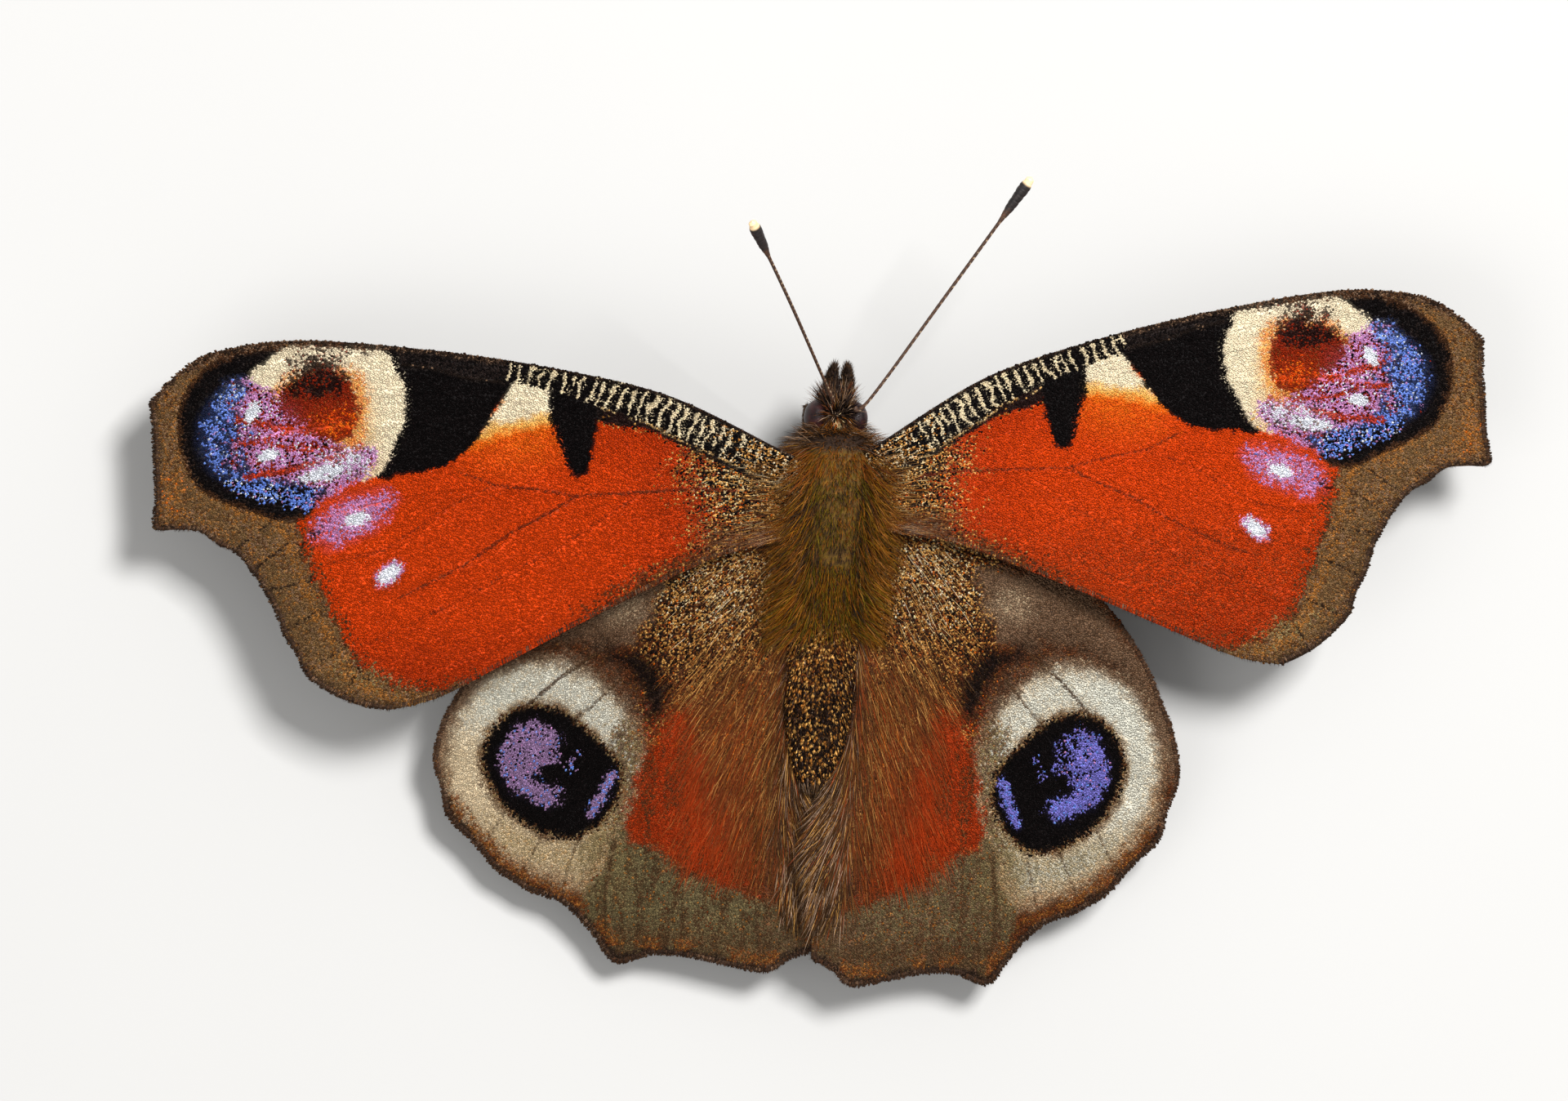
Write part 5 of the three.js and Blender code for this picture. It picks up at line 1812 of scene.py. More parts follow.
@dataclass(frozen=True)
class Limb:
    """A rounded part that follows a smooth path.

    Attributes:
        path: Points that it follows, in millimetres.
        radius: Gives its radius from shares of its length.
        flat: Its thickness as a share of its width.
    """

    path: tuple[Spot, ...]
    radius: Callable[[Array], Array]
    flat: float = 1.0

    def ahead(self, share: Array) -> Array:
        """Which way it runs."""
        return unit(by_length(self.path, share + NUDGE) - by_length(self.path, share - NUDGE))

    def out(self, share: Array, angle: Array) -> Array:
        """Which way its surface faces."""
        ahead = self.ahead(share)
        side = unit(np.cross(ahead, [0.13, 0.07, 1.0]))
        over = np.cross(side, ahead)
        return side * np.cos(angle)[:, None] + self.flat * over * np.sin(angle)[:, None]

    def place(self, share: Array, angle: Array) -> Array:
        """Points on its surface."""
        centre = by_length(self.path, share)
        return centre + self.radius(share)[:, None] * self.out(share, angle)

    def swollen(self, swell: Callable[[Array], Array]) -> Place:
        """Its surface, made thicker or thinner along it."""

        def place(share: Array, angle: Array) -> Array:
            """Points on the surface."""
            centre = by_length(self.path, share)
            return centre + (self.place(share, angle) - centre) * swell(share)[:, None]

        return place

    def bristle(
        self, coat: Coat, chance: Chance, number: int, length: float, mix: Mix, at: Point,
        splay: float = 0.5,
    ) -> None:
        """Covers it with short bristles that lean towards its tip.

        Args:
            coat: The coat that they join.
            chance: Where the random numbers come from.
            number: How many there are.
            length: Their usual length.
            mix: Their pigments.
            at: The corner of its place on the map.
            splay: How far they stand out.
        """
        share, angle = chance.uniform(0.03, 0.98, number), chance.uniform(-np.pi, np.pi, number)
        out = self.out(share, angle)
        coat.hairs(
            self.place(share, angle) - out * 0.01,
            self.ahead(share) + out * (splay * chance.uniform(0.4, 1.2, number))[:, None],
            out, length * chance.uniform(0.6, 1.3, number), np.full(number, 0.04),
            np.zeros((number, 3)), Dusting(rows_of(share * 10, angle), number, mix).colour,
            np.array(at) + 0.1 * rows_of(share, angle / (2 * np.pi) + 0.5), rings=1,
        )


def mirrored(points: Line, side: Side, middle: float = 0.0) -> tuple[Spot, ...]:
    """Points given for the left side, on either side of a middle."""
    return tuple((middle + side.value * x, y, z) for x, y, z in points)


@dataclass
class Body:
    """Head, thorax and abdomen under one skin, and the coat on the last two.

    Attributes:
        skin: Rows of place along, centre across and up, half width, and height
            above and below the centre, in millimetres.
        thorax_hairs: How many hairs the thorax has.
        tail_hairs: How many long hairs lie from the thorax over the abdomen.
        abdomen_scales: How many scales the abdomen has.
    """

    SEGMENT_START, SEGMENT = 5.2, 0.98  # where the abdomen's rings start, and their length
    FURROW, FURROW_WIDTH = 0.05, 0.09  # how deep and wide it is between them, as shares
    COLLAR_END = -2.4  # where the collar's coat gives way to the thorax's
    TRIES, WIDEST = 6, 2.4  # places drawn for each one kept, and the skin's half width

    skin: tuple[tuple[float, ...], ...] = (
        (-6.05, -0.05, 5.78, 0.0, 0.0, 0.0), (-5.97, -0.05, 5.79, 0.40, 0.42, 0.42),
        (-5.7, -0.05, 5.82, 0.68, 0.75, 0.80), (-5.3, -0.05, 5.85, 0.84, 0.98, 1.02),
        (-4.95, -0.06, 5.88, 0.84, 1.0, 1.02), (-4.55, -0.10, 5.97, 0.86, 0.86, 0.98),
        (-4.15, -0.12, 6.1, 1.30, 1.08, 1.28), (-3.7, -0.12, 6.2, 1.72, 1.45, 1.62),
        (-3.0, -0.10, 6.2, 2.02, 1.80, 2.02), (-1.5, -0.10, 6.2, 2.28, 2.08, 2.30),
        (0.0, -0.08, 6.15, 2.28, 2.08, 2.35), (1.5, -0.05, 6.05, 2.18, 1.90, 2.25),
        (3.0, 0.0, 5.9, 1.95, 1.58, 1.90), (4.2, 0.04, 5.75, 1.75, 1.38, 1.65),
        (5.2, 0.08, 5.65, 1.68, 1.34, 1.55), (6.5, 0.13, 5.55, 1.65, 1.32, 1.55),
        (8.0, 0.16, 5.4, 1.60, 1.28, 1.50), (9.5, 0.18, 5.2, 1.46, 1.18, 1.41),
        (11.0, 0.19, 4.95, 1.18, 0.94, 1.11), (12.2, 0.19, 4.7, 0.76, 0.62, 0.70),
        (12.72, 0.18, 4.59, 0.34, 0.30, 0.32), (12.84, 0.18, 4.56, 0.0, 0.0, 0.0),
    )
    thorax_hairs: int = 14500
    tail_hairs: int = 3600
    abdomen_scales: int = 12000

    def place(self, share: Array, angle: Array) -> Array:
        """Points on the skin, from shares of its length and angles round it."""
        y, x, z, wide, above, below = spline(self.skin, np.clip(share, 0, 1)).T
        ring = np.mod((y - self.SEGMENT_START) / self.SEGMENT, 1)
        furrow = np.exp(-((np.minimum(ring, 1 - ring) / self.FURROW_WIDTH) ** 2))
        dip = 1 - self.FURROW * furrow * ramp(y, 5, 5.4)
        high = np.where(np.sin(angle) > 0, above, below)
        x = x + np.maximum(wide, 0) * dip * np.cos(angle)
        return rows_of(x, y, z + np.maximum(high, 0) * dip * np.sin(angle))

    def share_at(self, y: Array | float) -> Array:
        """Shares of the skin's length at places along the body."""
        s = np.linspace(0, 1, 800)
        return np.interp(y, spline(self.skin, s)[:, 0], s)

    def frame(self, share: Array, angle: Array) -> tuple[Array, Array, Array]:
        """Points on the skin, which way is rearwards, and the way it faces."""
        here = self.place(share, angle)
        rear = unit(self.place(share + NUDGE, angle) - self.place(share - NUDGE, angle))
        round_it = self.place(share, angle + 0.02) - self.place(share, angle - 0.02)
        out = unit(np.cross(rear, round_it))
        middle = spline(self.skin, np.clip(share, 0, 1))[:, [1, 0, 2]]
        out *= np.sign((out * (here - middle)).sum(1))[:, None]
        return here, rear, out

    def scatter(
        self, chance: Chance, number: int, start: float, end: float
    ) -> tuple[Array, Array]:
        """Random places on the skin, evenly over its area.

        Args:
            chance: Where the random numbers come from.
            number: How many places.
            start: Where they start along the body.
            end: Where they end.

        Returns:
            Their shares and angles.
        """
        tries = number * self.TRIES
        y = chance.uniform(start, end, tries)
        share, angle = self.share_at(y), chance.uniform(-np.pi, np.pi, tries)
        wide = spline(self.skin, share)[:, 3]
        keep = np.where(chance.random(tries) < wide / self.WIDEST)[0][:number]
        return share[keep], angle[keep]

    def map_place(self, share: Array, angle: Array) -> Array:
        """Places on the map of an unwrap along the body."""
        return 0.02 + 0.96 * rows_of(np.mod(angle / (2 * np.pi) + 0.75, 1), share)

    def skin_tint(self, share: Array, angle: Array) -> Array:
        """The skin's own colours, darkest on the head and gold-specked behind."""
        d = Dusting(self.place(share, angle), 5, {P.HAIR_DARK: 1, P.DARK_BROWN: 1})
        top = ramp(d.y, -3.7, -3.1) * ramp(-d.y, -5.2, -4.4)
        d.put(top, {P.HAIR_OLIVE: 1, P.HAIR_RUST: 0.5, P.HAIR_DARK: 1.2}, 0.3)
        d.put(ramp(d.y, 4.6, 5.6), {P.BLACK: 1, P.CHAR: 1, P.DARK_BROWN: 1})
        d.put(0.2 * ramp(d.y, 4.6, 5.6), P.GOLD)
        return d.colour

    def build_skin(self) -> None:
        """Builds the one skin of head, thorax and abdomen."""
        shell = Shell("body_skin").sleeve(self.place, self.skin_tint, 72, 220)
        nodes = ["head", "prothorax", "mesothorax", "metathorax", "abdomen"]
        own(shell.build(Finish.SKIN), nodes)

    def build_thorax_hair(self) -> None:
        """Builds the thorax's coat: olive on top, rusty at the sides and collar, with painted
        shade on the left flank.
        """
        chance = np.random.default_rng(51)
        share, angle = self.scatter(chance, self.thorax_hairs, -4.6, 5.3)
        here, rear, out = self.frame(share, angle)
        x, y = here[:, 0], here[:, 1]
        spot = np.hypot((x + 0.25) / 0.55, (y - 1.55) / 0.42)
        keep = chance.random(len(x)) > 0.75 * (spot < 1) * (out[:, 2] > 0.5)
        share, angle, here, rear, out = (a[keep] for a in (share, angle, here, rear, out))
        x, y = here[:, 0], here[:, 1]
        count, side = len(x), np.cos(angle)
        tint = HairDusting(here, 52, {P.HAIR_OLIVE: 1.2, P.HAIR_DARK: 1.1, P.HAIR_RUST: 0.3})
        flank = ramp(np.abs(x + 0.1), 0.7, 1.35)
        rim = {P.HAIR_RUST: 1, P.HAIR_BROWN: 0.5, P.HAIR_GOLD: 0.7, P.GOLDEN: 0.2}
        tint.put(0.85 * ramp(flank, 0.4, 1), rim)
        warm = np.exp(-(((x + 0.55) / 0.45) ** 2 + ((y + 0.4) / 1.8) ** 2))
        tint.put(0.6 * warm, {P.HAIR_RUST: 1, P.HAIR_BROWN: 1})
        # Painted shade: the left flank is darker, as the light falls from the insect's right.
        tint.put(0.3 * flank * (x > 0), {P.HAIR_DARK: 1, P.HAIR_BROWN: 1})
        collar = {P.HAIR_RUST: 1.2, P.HAIR_BROWN: 0.6, P.HAIR_GOLD: 0.3, P.RUST: 0.3}
        tint.put(0.9 * ramp(-y, 2.0, 2.6), collar)
        tint.put(0.9 * ramp(-y, 3.4, 3.7), {P.HAIR_DARK: 1.6, P.HAIR_BROWN: 0.7, P.HAIR_RUST: 0.4})
        neck = ramp(-y, 3.4, 3.8) * ramp(np.abs(side), 0.3, 0.8)
        tint.put(0.6 * neck, {P.TAUPE: 1, P.HAIR_BROWN: 0.7, P.HAIR_DARK: 0.8})
        tint.put(0.5 * ramp(y, 1.8, 3.2), {P.HAIR_RUST: 1, P.HAIR_OLIVE: 0.8, P.HAIR_GOLD: 0.5})
        tint.put(0.85 * (np.hypot((x + 0.2) / 0.75, (y - 1.5) / 0.5) < 1), P.HAIR_DARK)
        tint.put(1.0 * (out[:, 2] < -0.2), {P.HAIR_BROWN: 1, P.HAIR_GREY: 0.6, P.HAIR_DARK: 0.8})
        front = ramp(-y, 3.2, 4.4)
        way = rear * (1 - 0.35 * front - 0.85 * neck)[:, None]
        way[:, 0] += 2.3 * side * ramp(np.abs(side), 0.3, 0.9)
        way += out * (0.75 - 0.4 * flank + 0.5 * front + 0.4 * chance.random(count))[:, None]
        way += chance.normal(0, 1, way.shape) * (0.34 + 0.3 * front)[:, None]
        length = 0.42 + 1.35 * flank * (1 - 0.6 * front) + 0.3 * ramp(y, 2, 4)
        length = length + 0.8 * neck * (1 - flank)
        hairs = (
            here - out * 0.03, way, out, length * chance.uniform(0.7, 1.2, count),
            chance.uniform(0.022, 0.04, count),
            -out * chance.uniform(0.1, 0.3, count)[:, None] + rear * 0.12,
            tint.colour, self.map_place(share, angle),
        )
        collar = y < self.COLLAR_END
        for name, part in (("hair_collar", collar), ("hair_thorax", ~collar)):
            coat = Coat(name)
            coat.hairs(*(rows[part] for rows in hairs), rings=3)
            own(coat.build(Finish.HAIR))

    def build_tail_hair(self) -> None:
        """Builds the long hairs that lie from the thorax over the abdomen."""
        chance = np.random.default_rng(61)
        share, angle = self.scatter(chance, self.tail_hairs, 2.0, 4.5)
        here, rear, out = self.frame(share, angle)
        count = len(share)
        ground = {P.HAIR_RUST: 1, P.HAIR_OLIVE: 1, P.HAIR_GOLD: 0.4, P.HAIR_DARK: 0.3}
        tint = HairDusting(here, 62, ground)
        tint.put(0.4 * ramp(np.abs(here[:, 0]), 1.1, 1.8), {P.HAIR_GREY: 0.3, P.HAIR_BROWN: 1})
        way = rear + out * chance.uniform(0.05, 0.35, count)[:, None]
        way[:, 0] += chance.normal(0, 0.16, count) + 0.4 * np.cos(angle)
        coat = Coat("hair_thorax_rear")
        coat.hairs(
            here, way, out, chance.uniform(0.6, 1.25, count), chance.uniform(0.022, 0.036, count),
            -out * chance.uniform(0.0, 0.12, count)[:, None], tint.colour,
            self.map_place(share, angle), rings=3,
        )
        own(coat.build(Finish.HAIR))

    def build_abdomen_scales(self) -> None:
        """Builds the abdomen's flat scales, black with gold specks."""
        chance = np.random.default_rng(71)
        share, angle = self.scatter(chance, self.abdomen_scales, 4.6, 12.8)
        here, rear, out = self.frame(share, angle)
        count = len(share)
        tint = Dusting(here, 72, {P.BLACK: 1, P.CHAR: 0.8, P.DARK_BROWN: 1, P.UMBER: 0.7})
        tint.put(0.45 * ramp(10.5 - tint.y, 0, 5), {P.RUST: 1, P.UMBER: 1.5})
        tint.put(0.3 + 0.15 * ramp(9.5 - tint.y, 0, 4), {P.GOLD: 1, P.GOLDEN: 1.1}, 1)
        tint.put(0.9 * (out[:, 2] < -0.1), {P.UMBER: 1, P.TAUPE: 0.7, P.BARK: 1})
        coat, at = Coat("scales_abdomen"), self.map_place(share, angle)
        size = chance.uniform(0.75, 1.2, count)
        coat.flakes(
            here + out * 0.01, rear + chance.normal(0, 0.16, rear.shape), out, 0.27 * size,
            0.13 * size, chance.uniform(0.03, 0.09, count), tint.colour, at,
        )
        tip = share > self.share_at(12.0)
        few = np.where(tip | (chance.random(count) < 0.08))[0]
        here, rear, out, at = (a[few] for a in (here, rear, out, at))
        tint = Dusting(here, 73, {P.HAIR_BROWN: 1, P.HAIR_DARK: 1, P.HAIR_GREY: 0.6})
        coat.hairs(
            here, rear + 0.25 * out, out,
            (0.45 + 0.35 * tip[few]) * chance.uniform(0.8, 1.3, len(few)),
            np.full(len(few), 0.035), -0.15 * out, tint.colour, at, rings=2,
        )
        own(coat.build(Finish.SCALES))

    def build(self) -> None:
        """Builds the body."""
        self.build_skin()
        self.build_thorax_hair()
        self.build_tail_hair()
        self.build_abdomen_scales()


@dataclass
class Head:
    """The head's coat, eyes, palps, coiled tongue and feelers.

    Attributes:
        body: The body whose skin it shares.
        middle: How far its middle is to the left.
        eye_place: Centre of the left eye from the head's middle.
        eye_size: Half the eye's width, length and height.
        palp_middle: How far the middle between the palps is to the left.
        palp: The left palp's path from that middle.
        coil: Centre of the coiled tongue.
        turns: How many turns it has.
        feelers: Each feeler's path.
        club: How long a feeler's club is.
        rings: How many joints a feeler shows.
    """

    EYE_CLEAR = 1.03  # size of the place round an eye where no hair grows, as a share
    body: Body = field(default_factory=Body)
    middle: float = -0.05
    eye_place: Spot = (0.92, -4.98, 5.95)
    eye_size: Spot = (0.60, 0.80, 0.91)
    palp_middle: float = -0.24
    palp: tuple[Spot, ...] = (
        (0.38, -5.75, 5.05), (0.38, -6.3, 5.1), (0.36, -6.9, 5.3), (0.31, -7.48, 5.68),
    )
    coil: Spot = (-0.15, -5.7, 3.5)
    turns: float = 1.5
    club: float = 2.3
    rings: int = 42
    feelers: dict[Side, tuple] = field(
        default_factory=lambda: {
            Side.LEFT: (
                (0.22, -5.75, 6.95), (0.88, -6.75, 8.15), (3.2, -10.2, 12.7), (5.6, -13.65, 16.9),
            ),
            Side.RIGHT: (
                (-0.75, -5.45, 7.0), (-1.45, -5.9, 7.45), (-4.6, -10.9, 9.6), (-8.1, -16.5, 11.9),
            ),
        }
    )

    def eye_centre(self, side: Side) -> Array:
        """The middle of one eye."""
        return np.array(mirrored([self.eye_place], side, self.middle)[0])

    def build_eye(self, side: Side) -> None:
        """Builds one eye as a ball of fine facets."""

        def place(share: Array, angle: Array) -> Array:
            """Points on the eye."""
            cos, sin = np.cos(np.pi * share), np.sin(np.pi * share)
            ball = rows_of(-cos * side.value, sin * np.cos(angle), sin * np.sin(angle))
            return self.eye_centre(side) + ball * self.eye_size

        shell = Shell("globe_eye_" + side.label).sleeve(place, plain((40, 20, 20)), 48, 32)
        own(shell.build(Finish.EYE), ["eye_" + side.label])

    def palp_limb(self, side: Side) -> Limb:
        """One palp's shape: it swells, then ends in a short point."""
        radius = tapered((0, 0.0), (0.08, 0.26), (0.42, 0.3), (0.72, 0.2), (1, 0.02))
        return Limb(mirrored(self.palp, side, self.palp_middle), radius, 1.15)

    def build_palp(self, side: Side) -> None:
        """Builds one palp."""
        name, place = "palp_" + side.label, self.palp_limb(side).place
        shell = Shell("cone_" + name).sleeve(place, plain((44, 30, 26)), 20, 30)
        own(shell.build(Finish.SKIN), [name])

    def build_tongue(self) -> None:
        """Builds the coiled tongue below the head."""
        turn = np.linspace(0, self.turns, 60)
        x, y, z = self.coil
        reach, a = 0.28 + 0.5 * turn, (turn + 0.5) * 2 * np.pi
        coil = rows_of(np.full(60, x), y + reach * np.sin(a), z + reach * np.cos(a))
        radius = tapered((0, 0.0), (0.03, 0.09), (0.8, 0.15), (0.98, 0.16), (1, 0.0))
        limb = Limb(tuple(map(tuple, coil)), radius)

        def swell(share: Array) -> Array:
            """Its fine rings."""
            return 1 + 0.07 * np.cos(2 * np.pi * 60 * share)

        shell = Shell("coil_tongue").sleeve(limb.swollen(swell), plain((92, 56, 36)), 14, 360)
        own(shell.build(Finish.HORN), ["proboscis"])

    def build_feeler(self, side: Side) -> None:
        """Builds one feeler: a thin ringed shaft and a club with a pale tip."""
        path = self.feelers[side]
        fine = by_length(path, np.linspace(0, 1, 60))
        whole = float(np.linalg.norm(np.diff(fine, axis=0), axis=1).sum())
        club = 1 - self.club / whole
        shaft = ((0, 0.0), (0.005, 0.13), (0.03, 0.10), (0.06, 0.078), (club - 0.04, 0.085))
        bulb = ((0.35, 0.24), (0.72, 0.29), (0.93, 0.2))
        bulb = [(club + at * (1 - club), size) for at, size in bulb]
        limb = Limb(path, tapered(*shaft, *bulb, (1, 0.02)), 0.85)

        def swell(share: Array) -> Array:
            """Its waists between the joints."""
            return 1 - 0.09 * np.exp(-((np.mod(share * self.rings + 0.5, 1) - 0.5) / 0.13) ** 2)

        def tint(share: Array, angle: Array) -> Array:
            """Dark brown with pale flecks, and the club black with a pale tip."""
            d = Dusting(rows_of(share, angle), 83, {P.DARK_BROWN: 1, P.UMBER: 0.5})
            fleck = (np.mod(share * self.rings, 1) < 0.3) * (np.cos(angle) > 0.1) * (share < club)
            d.put(0.55 * fleck, {P.TAUPE: 1, P.SAND: 0.5})
            d.put(ramp(share, club, club + 0.04), {P.BLACK: 1, P.CHAR: 0.6})
            d.put(ramp(share, 1 - 0.5 / whole, 1 - 0.36 / whole), {P.CREAM: 1, P.GOLD: 1}, 0)
            return d.colour

        shell = Shell("feeler_" + side.label).sleeve(limb.swollen(swell), tint, 14, 420)
        nodes = [f"antenna_{part}_{side.label}" for part in ("shaft", "club")]
        own(shell.build(Finish.HORN), nodes)

    def build_coat(self) -> None:
        """Builds the head's bristly coat and the palps' short one."""
        chance = np.random.default_rng(81)
        share, angle = self.body.scatter(chance, 5200, -6.02, -4.2)
        here, rear, out = self.body.frame(share, angle)
        clear = np.ones(len(here), bool)
        for side in Side:
            away = (here - self.eye_centre(side)) / (np.array(self.eye_size) * self.EYE_CLEAR)
            clear &= (away**2).sum(1) > 1
        share, angle, here, rear, out = (a[clear] for a in (share, angle, here, rear, out))
        y, count, off = here[:, 1], len(here), np.abs(here[:, 0] - self.middle)
        ground = {P.HAIR_DARK: 1.4, P.CHAR: 0.8, P.BLACK: 0.5, P.HAIR_BROWN: 0.25}
        tint = HairDusting(here, 82, ground)
        tint.put(0.12 * (tint.noise(0.3, 84) > 0.5), {P.RUST: 1, P.HAIR_GOLD: 0.2})
        tint.put(0.16, {P.TAUPE: 1, P.HAIR_GREY: 0.5})
        cheek = ramp(off, 0.7, 1.1) * ramp(y, -4.9, -4.6)
        crown = {P.HAIR_BROWN: 1, P.HAIR_RUST: 0.6, P.HAIR_DARK: 0.4}
        tint.put(0.65 * ramp(y, -5.2, -4.85), crown)
        tint.put(0.7 * cheek, {P.TAUPE: 1, P.HAIR_BROWN: 1, P.HAIR_GREY: 0.5})
        speck = np.hypot(here[:, 0] / 0.13, (y + 4.85) / 0.12) < 1
        tint.put(1.0 * speck, {P.STRAW: 1, P.ORANGE: 0.2})
        forward = ramp(-y, 4.7, 5.5)[:, None]
        way = rear * (0.55 - 1.35 * forward) + out * chance.uniform(0.5, 1.0, count)[:, None]
        aside = np.sign(np.cos(angle)) * ramp(off, 0.2, 0.6)
        way[:, 0] += aside * (0.9 - 0.75 * forward[:, 0])
        coat = Coat("hair_head")
        coat.hairs(
            here - out * 0.02, way + chance.normal(0, 0.2, way.shape), out,
            (0.52 + 0.5 * forward[:, 0]) * chance.uniform(0.6, 1.3, count),
            chance.uniform(0.028, 0.042, count), rear * 0.2, tint.colour,
            self.body.map_place(share, angle), rings=2,
        )
        mix = {P.HAIR_DARK: 1.4, P.BLACK: 0.7, P.HAIR_BROWN: 0.3}
        for side, at in ((Side.LEFT, (0.05, 0.8)), (Side.RIGHT, (0.25, 0.8))):
            self.palp_limb(side).bristle(coat, chance, 1300, 0.34, mix, at)
        own(coat.build(Finish.HAIR))

    def build(self) -> None:
        """Builds the head's pieces."""
        for side in Side:
            self.build_eye(side)
            self.build_palp(side)
            self.build_feeler(side)
        self.build_tongue()
        self.build_coat()


@dataclass(frozen=True)
class LegPlan:
    """One walking leg of the left side.

    Attributes:
        name: Which leg it is.
        row: Where its bristles start on the map.
        toe: Where it ends, in millimetres.
        joints: Its joints from the body to the ankle.
    """

    name: str
    row: float
    toe: Spot
    joints: tuple[Spot, ...]


@dataclass
class Legs:
    """The four walking legs and the two folded brush legs.

    Attributes:
        plans: The walking legs of the left side.
    """

    plans: tuple[LegPlan, ...] = (
        LegPlan(
            "middle", 0.05, (9.9, -6.1, 0.2),
            ((1.15, -0.7, 3.95), (1.9, -1.1, 2.75), (5, -2.9, 4.3), (7, -4.2, 0.85)),
        ),
        LegPlan(
            "hind", 0.29, (7.1, 11.6, 0.2),
            ((1, 2.3, 3.95), (1.75, 2.6, 2.75), (4.6, 5.2, 4.0), (6, 8.4, 0.8)),
        ),
    )
    SEGMENTS = (  # how far each sags, how flat it is, and its radii
        (0, 0.8, ((0, 0), (0.1, 0.36), (0.7, 0.34), (1, 0.1))),
        (0.12, 0.8, ((0, 0.08), (0.1, 0.27), (0.45, 0.31), (0.9, 0.2), (1, 0.08))),
        (0.1, 0.85, ((0, 0.08), (0.08, 0.19), (0.6, 0.17), (0.98, 0.15), (1, 0.04))),
    )
    TOES = ((0, 0.4, 0.58, 0.74, 0.86, 1.0), (0.13, 0.14, 0.13, 0.13, 0.125, 0.12))  # ends, radii
    CLAW = ((0, 0.04, 0), (0.12, 0.1, 0.01), (0.2, 0.13, -0.12))  # ahead, aside and up
    HEEL, HEEL_HEIGHT, TOE_HEIGHT = 0.16, 0.24, 0.15  # share from the ankle, and heights
    LAP = 0.11  # how far the foot's joints run into one another
    BRISTLES = ((150, 0.22), (520, 0.3), (420, 0.22)) + ((60, 0.09),) * 6  # how many, how long

    def limbs(self, plan: LegPlan, side: Side) -> list[Limb]:
        """The parts of one walking leg from the body to its claws."""

        def between(a: Sequence[float], b: Sequence[float], sag: float = 0.0) -> tuple:
            """A slightly bowed path from one joint to the next."""
            a, b = np.array(a, float), np.array(b, float)
            bow = [(t, sag * math.sin(math.pi * t)) for t in (0, 0.33, 0.67, 1)]
            return mirrored([a + (b - a) * t + [0, 0, up] for t, up in bow], side)

        parts = [
            Limb(between(a, b, sag), tapered(*radii), flat)
            for a, b, (sag, flat, radii) in zip(plan.joints, plan.joints[1:], self.SEGMENTS)
        ]
        ankle, toe = np.array(plan.joints[-1]), np.array(plan.toe)
        foot = ankle + (toe - ankle) * self.HEEL
        foot[2], toe[2] = self.HEEL_HEIGHT, self.TOE_HEIGHT
        ends, sizes = self.TOES
        rows = [ankle + [0, 0, -0.05]] + [foot + (toe - foot) * s for s in ends]
        for a, b, size in zip(rows[:-1], rows[1:], sizes):
            run = (b - a) / np.linalg.norm(b - a) * self.LAP
            radius = tapered((0, 0.05), (0.1, size * 0.82), (0.9, size), (1, 0.05))
            parts.append(Limb(between(a - run, b + run), radius, 0.9))
        ahead = (toe - foot) / np.linalg.norm(toe - foot)
        across, radius = np.cross([0, 0, 1], ahead), tapered((0, 0.045), (0.5, 0.035), (1, 0.006))
        for turn in (-1, 1):
            claw = [toe + ahead * on + across * by * turn + [0, 0, up] for on, by, up in self.CLAW]
            parts.append(Limb(mirrored(claw, side), radius))
        return parts

    def leg_tint(self, share: Array, angle: Array) -> Array:
        """Dark brown dusted with gold."""
        d = Dusting(rows_of(share * 20, angle * 3), 93, {P.DARK_BROWN: 1, P.CHAR: 1})
        d.put(0.22, {P.GOLDEN: 1, P.TAUPE: 0.6})
        return d.colour

    def build_leg(self, plan: LegPlan, side: Side, coat: Coat) -> None:
        """Builds one walking leg and adds its bristles to the coat."""
        chance, where = np.random.default_rng(95), f"{plan.name}_{side.label}"
        mix = {P.HAIR_DARK: 1, P.UMBER: 0.7, P.GOLDEN: 0.4}
        shell = Shell("leg_" + where)
        for number, limb in enumerate(self.limbs(plan, side)):
            shell.sleeve(limb.place, self.leg_tint, 16, 24)
            if number < len(self.BRISTLES):
                at = (0.02 + 0.11 * number % 0.88, plan.row + 0.12 * (side is Side.RIGHT))
                limb.bristle(coat, chance, *self.BRISTLES[number], mix, at, 0.35)
        nodes = [f"{part}_{where}" for part in ("coxa", "femur", "tibia", "tarsus")]
        own(shell.build(Finish.HORN), nodes)

    def build_brush(self, side: Side, coat: Coat) -> None:
        """Builds one folded foreleg with its brush."""
        chance, name = np.random.default_rng(96), side.label
        thigh = ((0.85, -3.7, 3.75), (0.86, -4.1, 3.45), (0.95, -4.8, 3.45), (1.0, -5.35, 3.5))
        shin = ((1.0, -5.4, 3.4), (0.99, -5.45, 3.05), (0.95, -4.7, 2.75), (0.9, -3.95, 2.66))
        shell = Shell("brush_" + name)
        for number, (path, size) in enumerate(((thigh, 0.2), (shin, 0.14))):
            radius = tapered((0, 0), (0.12, size), (0.8, size * 0.85), (1, 0.02))
            limb = Limb(mirrored(path, side), radius)
            shell.sleeve(limb.place, self.leg_tint, 16, 28)
            mix = {P.HAIR_DARK: 1, P.HAIR_GREY: 0.7, P.HAIR_BROWN: 0.6}
            at = (0.05 + 0.15 * number, 0.7 + 0.12 * (side is Side.RIGHT))
            limb.bristle(coat, chance, 500, 0.3, mix, at)
        nodes = [f"{part}_fore_{name}" for part in ("femur", "tibia")]
        own(shell.build(Finish.HORN), nodes)

    def build(self) -> None:
        """Builds all legs and their one coat of bristles."""
        coat = Coat("bristles_legs")
        for side in Side:
            for plan in self.plans:
                self.build_leg(plan, side, coat)
            self.build_brush(side, coat)
        own(coat.build(Finish.HAIR))


# ---- the scene


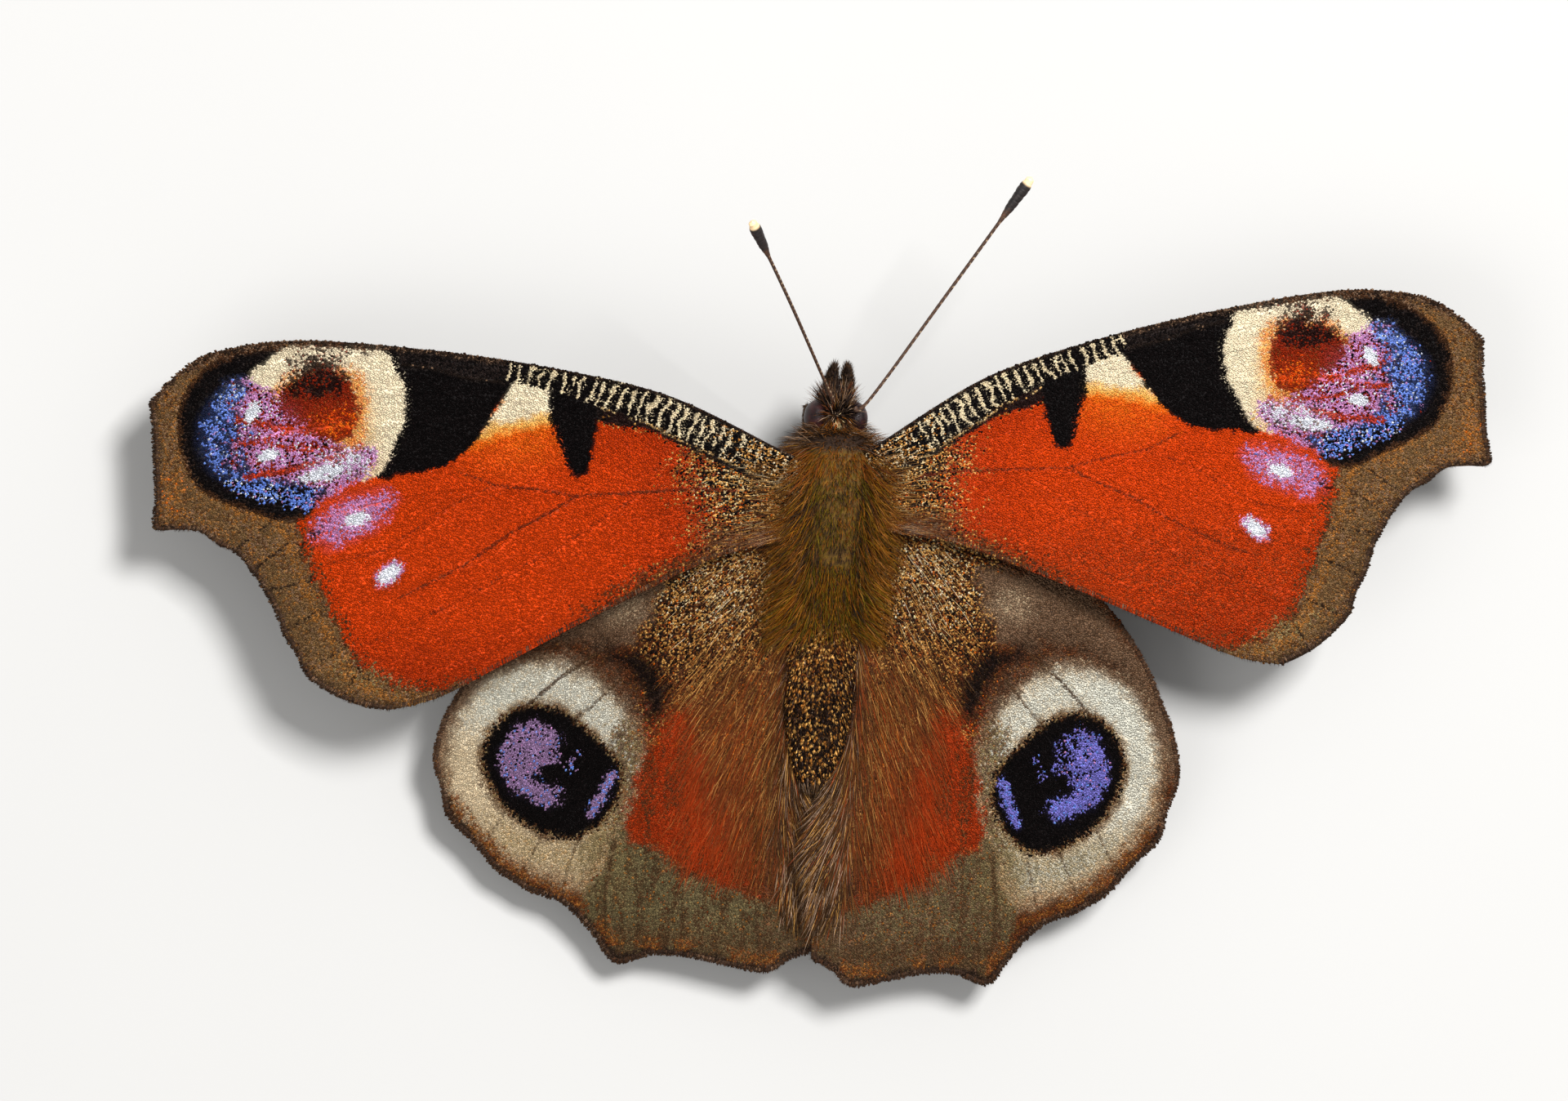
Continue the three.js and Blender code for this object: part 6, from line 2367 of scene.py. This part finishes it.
@dataclass(frozen=True)
class Studio:
    """A pale floor, soft light and the picture's camera.

    Attributes:
        target: What the camera looks at, in millimetres.
        tilt: How far the camera leans from straight above, in degrees.
        roll: How far it is turned about its own axis, in degrees.
        distance: How far away it is, in millimetres.
        view: Width of its view at the target, in millimetres.
    """

    SENSOR = 36.0  # width of the camera's sensor in millimetres
    target: Spot = (2.32272, -1.33051, 8.0)
    tilt: float = 7.0
    roll: float = 2.2
    distance: float = 350.0
    view: float = 73.846

    def build_camera(self) -> None:
        """Places the camera and makes it the scene's."""
        tilt, roll = math.radians(self.tilt), math.radians(self.roll)
        back = Vector((math.sin(tilt), 0, math.cos(tilt)))
        across = Vector((-math.cos(tilt), 0, math.sin(tilt)))
        rear = Vector((0, 1, 0))
        right = across * math.cos(roll) - rear * math.sin(roll)
        up = -(across * math.sin(roll) + rear * math.cos(roll))
        data = bpy.data.cameras.new("picture_camera")
        data.sensor_width = self.SENSOR
        data.lens = self.SENSOR * self.distance / self.view
        data.clip_start, data.clip_end = 0.01, 10.0
        camera = bpy.data.objects.new("picture_camera", data)
        bpy.context.scene.collection.objects.link(camera)
        place = (Vector(self.target) + back * self.distance) * MM
        rows = [[axis[i] for axis in (right, up, back, place)] for i in range(3)]
        camera.matrix_world = Matrix([*rows, (0, 0, 0, 1)])
        bpy.context.scene.camera = camera

    def add_lamp(self, name: str, place: Sequence[float], size: float, power: float) -> None:
        """Adds a square soft light aimed at the butterfly.

        Args:
            name: The lamp's name.
            place: Where it stands, in metres.
            size: Width of its face in metres.
            power: Its power in watts.
        """
        data = bpy.data.lights.new(name, "AREA")
        data.size, data.energy = size, power
        lamp = bpy.data.objects.new(name, data)
        bpy.context.scene.collection.objects.link(lamp)
        lamp.location = Vector(place)
        lamp.rotation_mode = "QUATERNION"
        lamp.rotation_quaternion = Vector(place).to_track_quat("Z", "Y")

    def build(self) -> None:
        """Sets the floor, the lights and the camera."""
        bm = bmesh.new()
        bmesh.ops.create_grid(bm, x_segments=8, y_segments=8, size=4.0)
        mesh = bpy.data.meshes.new("studio_floor")
        bm.to_mesh(mesh)
        bm.free()
        linked("studio_floor", mesh, Finish.FLOOR)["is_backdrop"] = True
        self.add_lamp("key_light", (-0.13, -0.2, 0.45), 0.14, 4.2)
        self.add_lamp("fill_light", (0.3, 0.2, 0.35), 0.3, 0.8)
        world = bpy.data.worlds.new("studio_air")
        world.use_nodes = True
        air = world.node_tree.nodes["Background"].inputs
        air["Color"].default_value, air["Strength"].default_value = (1, 1, 1, 1), 0.55
        bpy.context.scene.world = world
        bpy.context.scene.view_settings.view_transform = "Standard"
        self.build_camera()


def corners() -> list[list[float]]:
    """The shown model's lowest and highest corner as plain lists."""
    return [list(corner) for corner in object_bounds()]


def main() -> None:
    """Builds the butterfly piece by piece."""
    logging.basicConfig(level=logging.INFO, format="%(name)s: %(message)s")
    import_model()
    Studio().build()
    for wing in wings():
        wing.build()
    Body().build()
    Head().build()
    Legs().build()


if __name__ == "__main__":
    main()
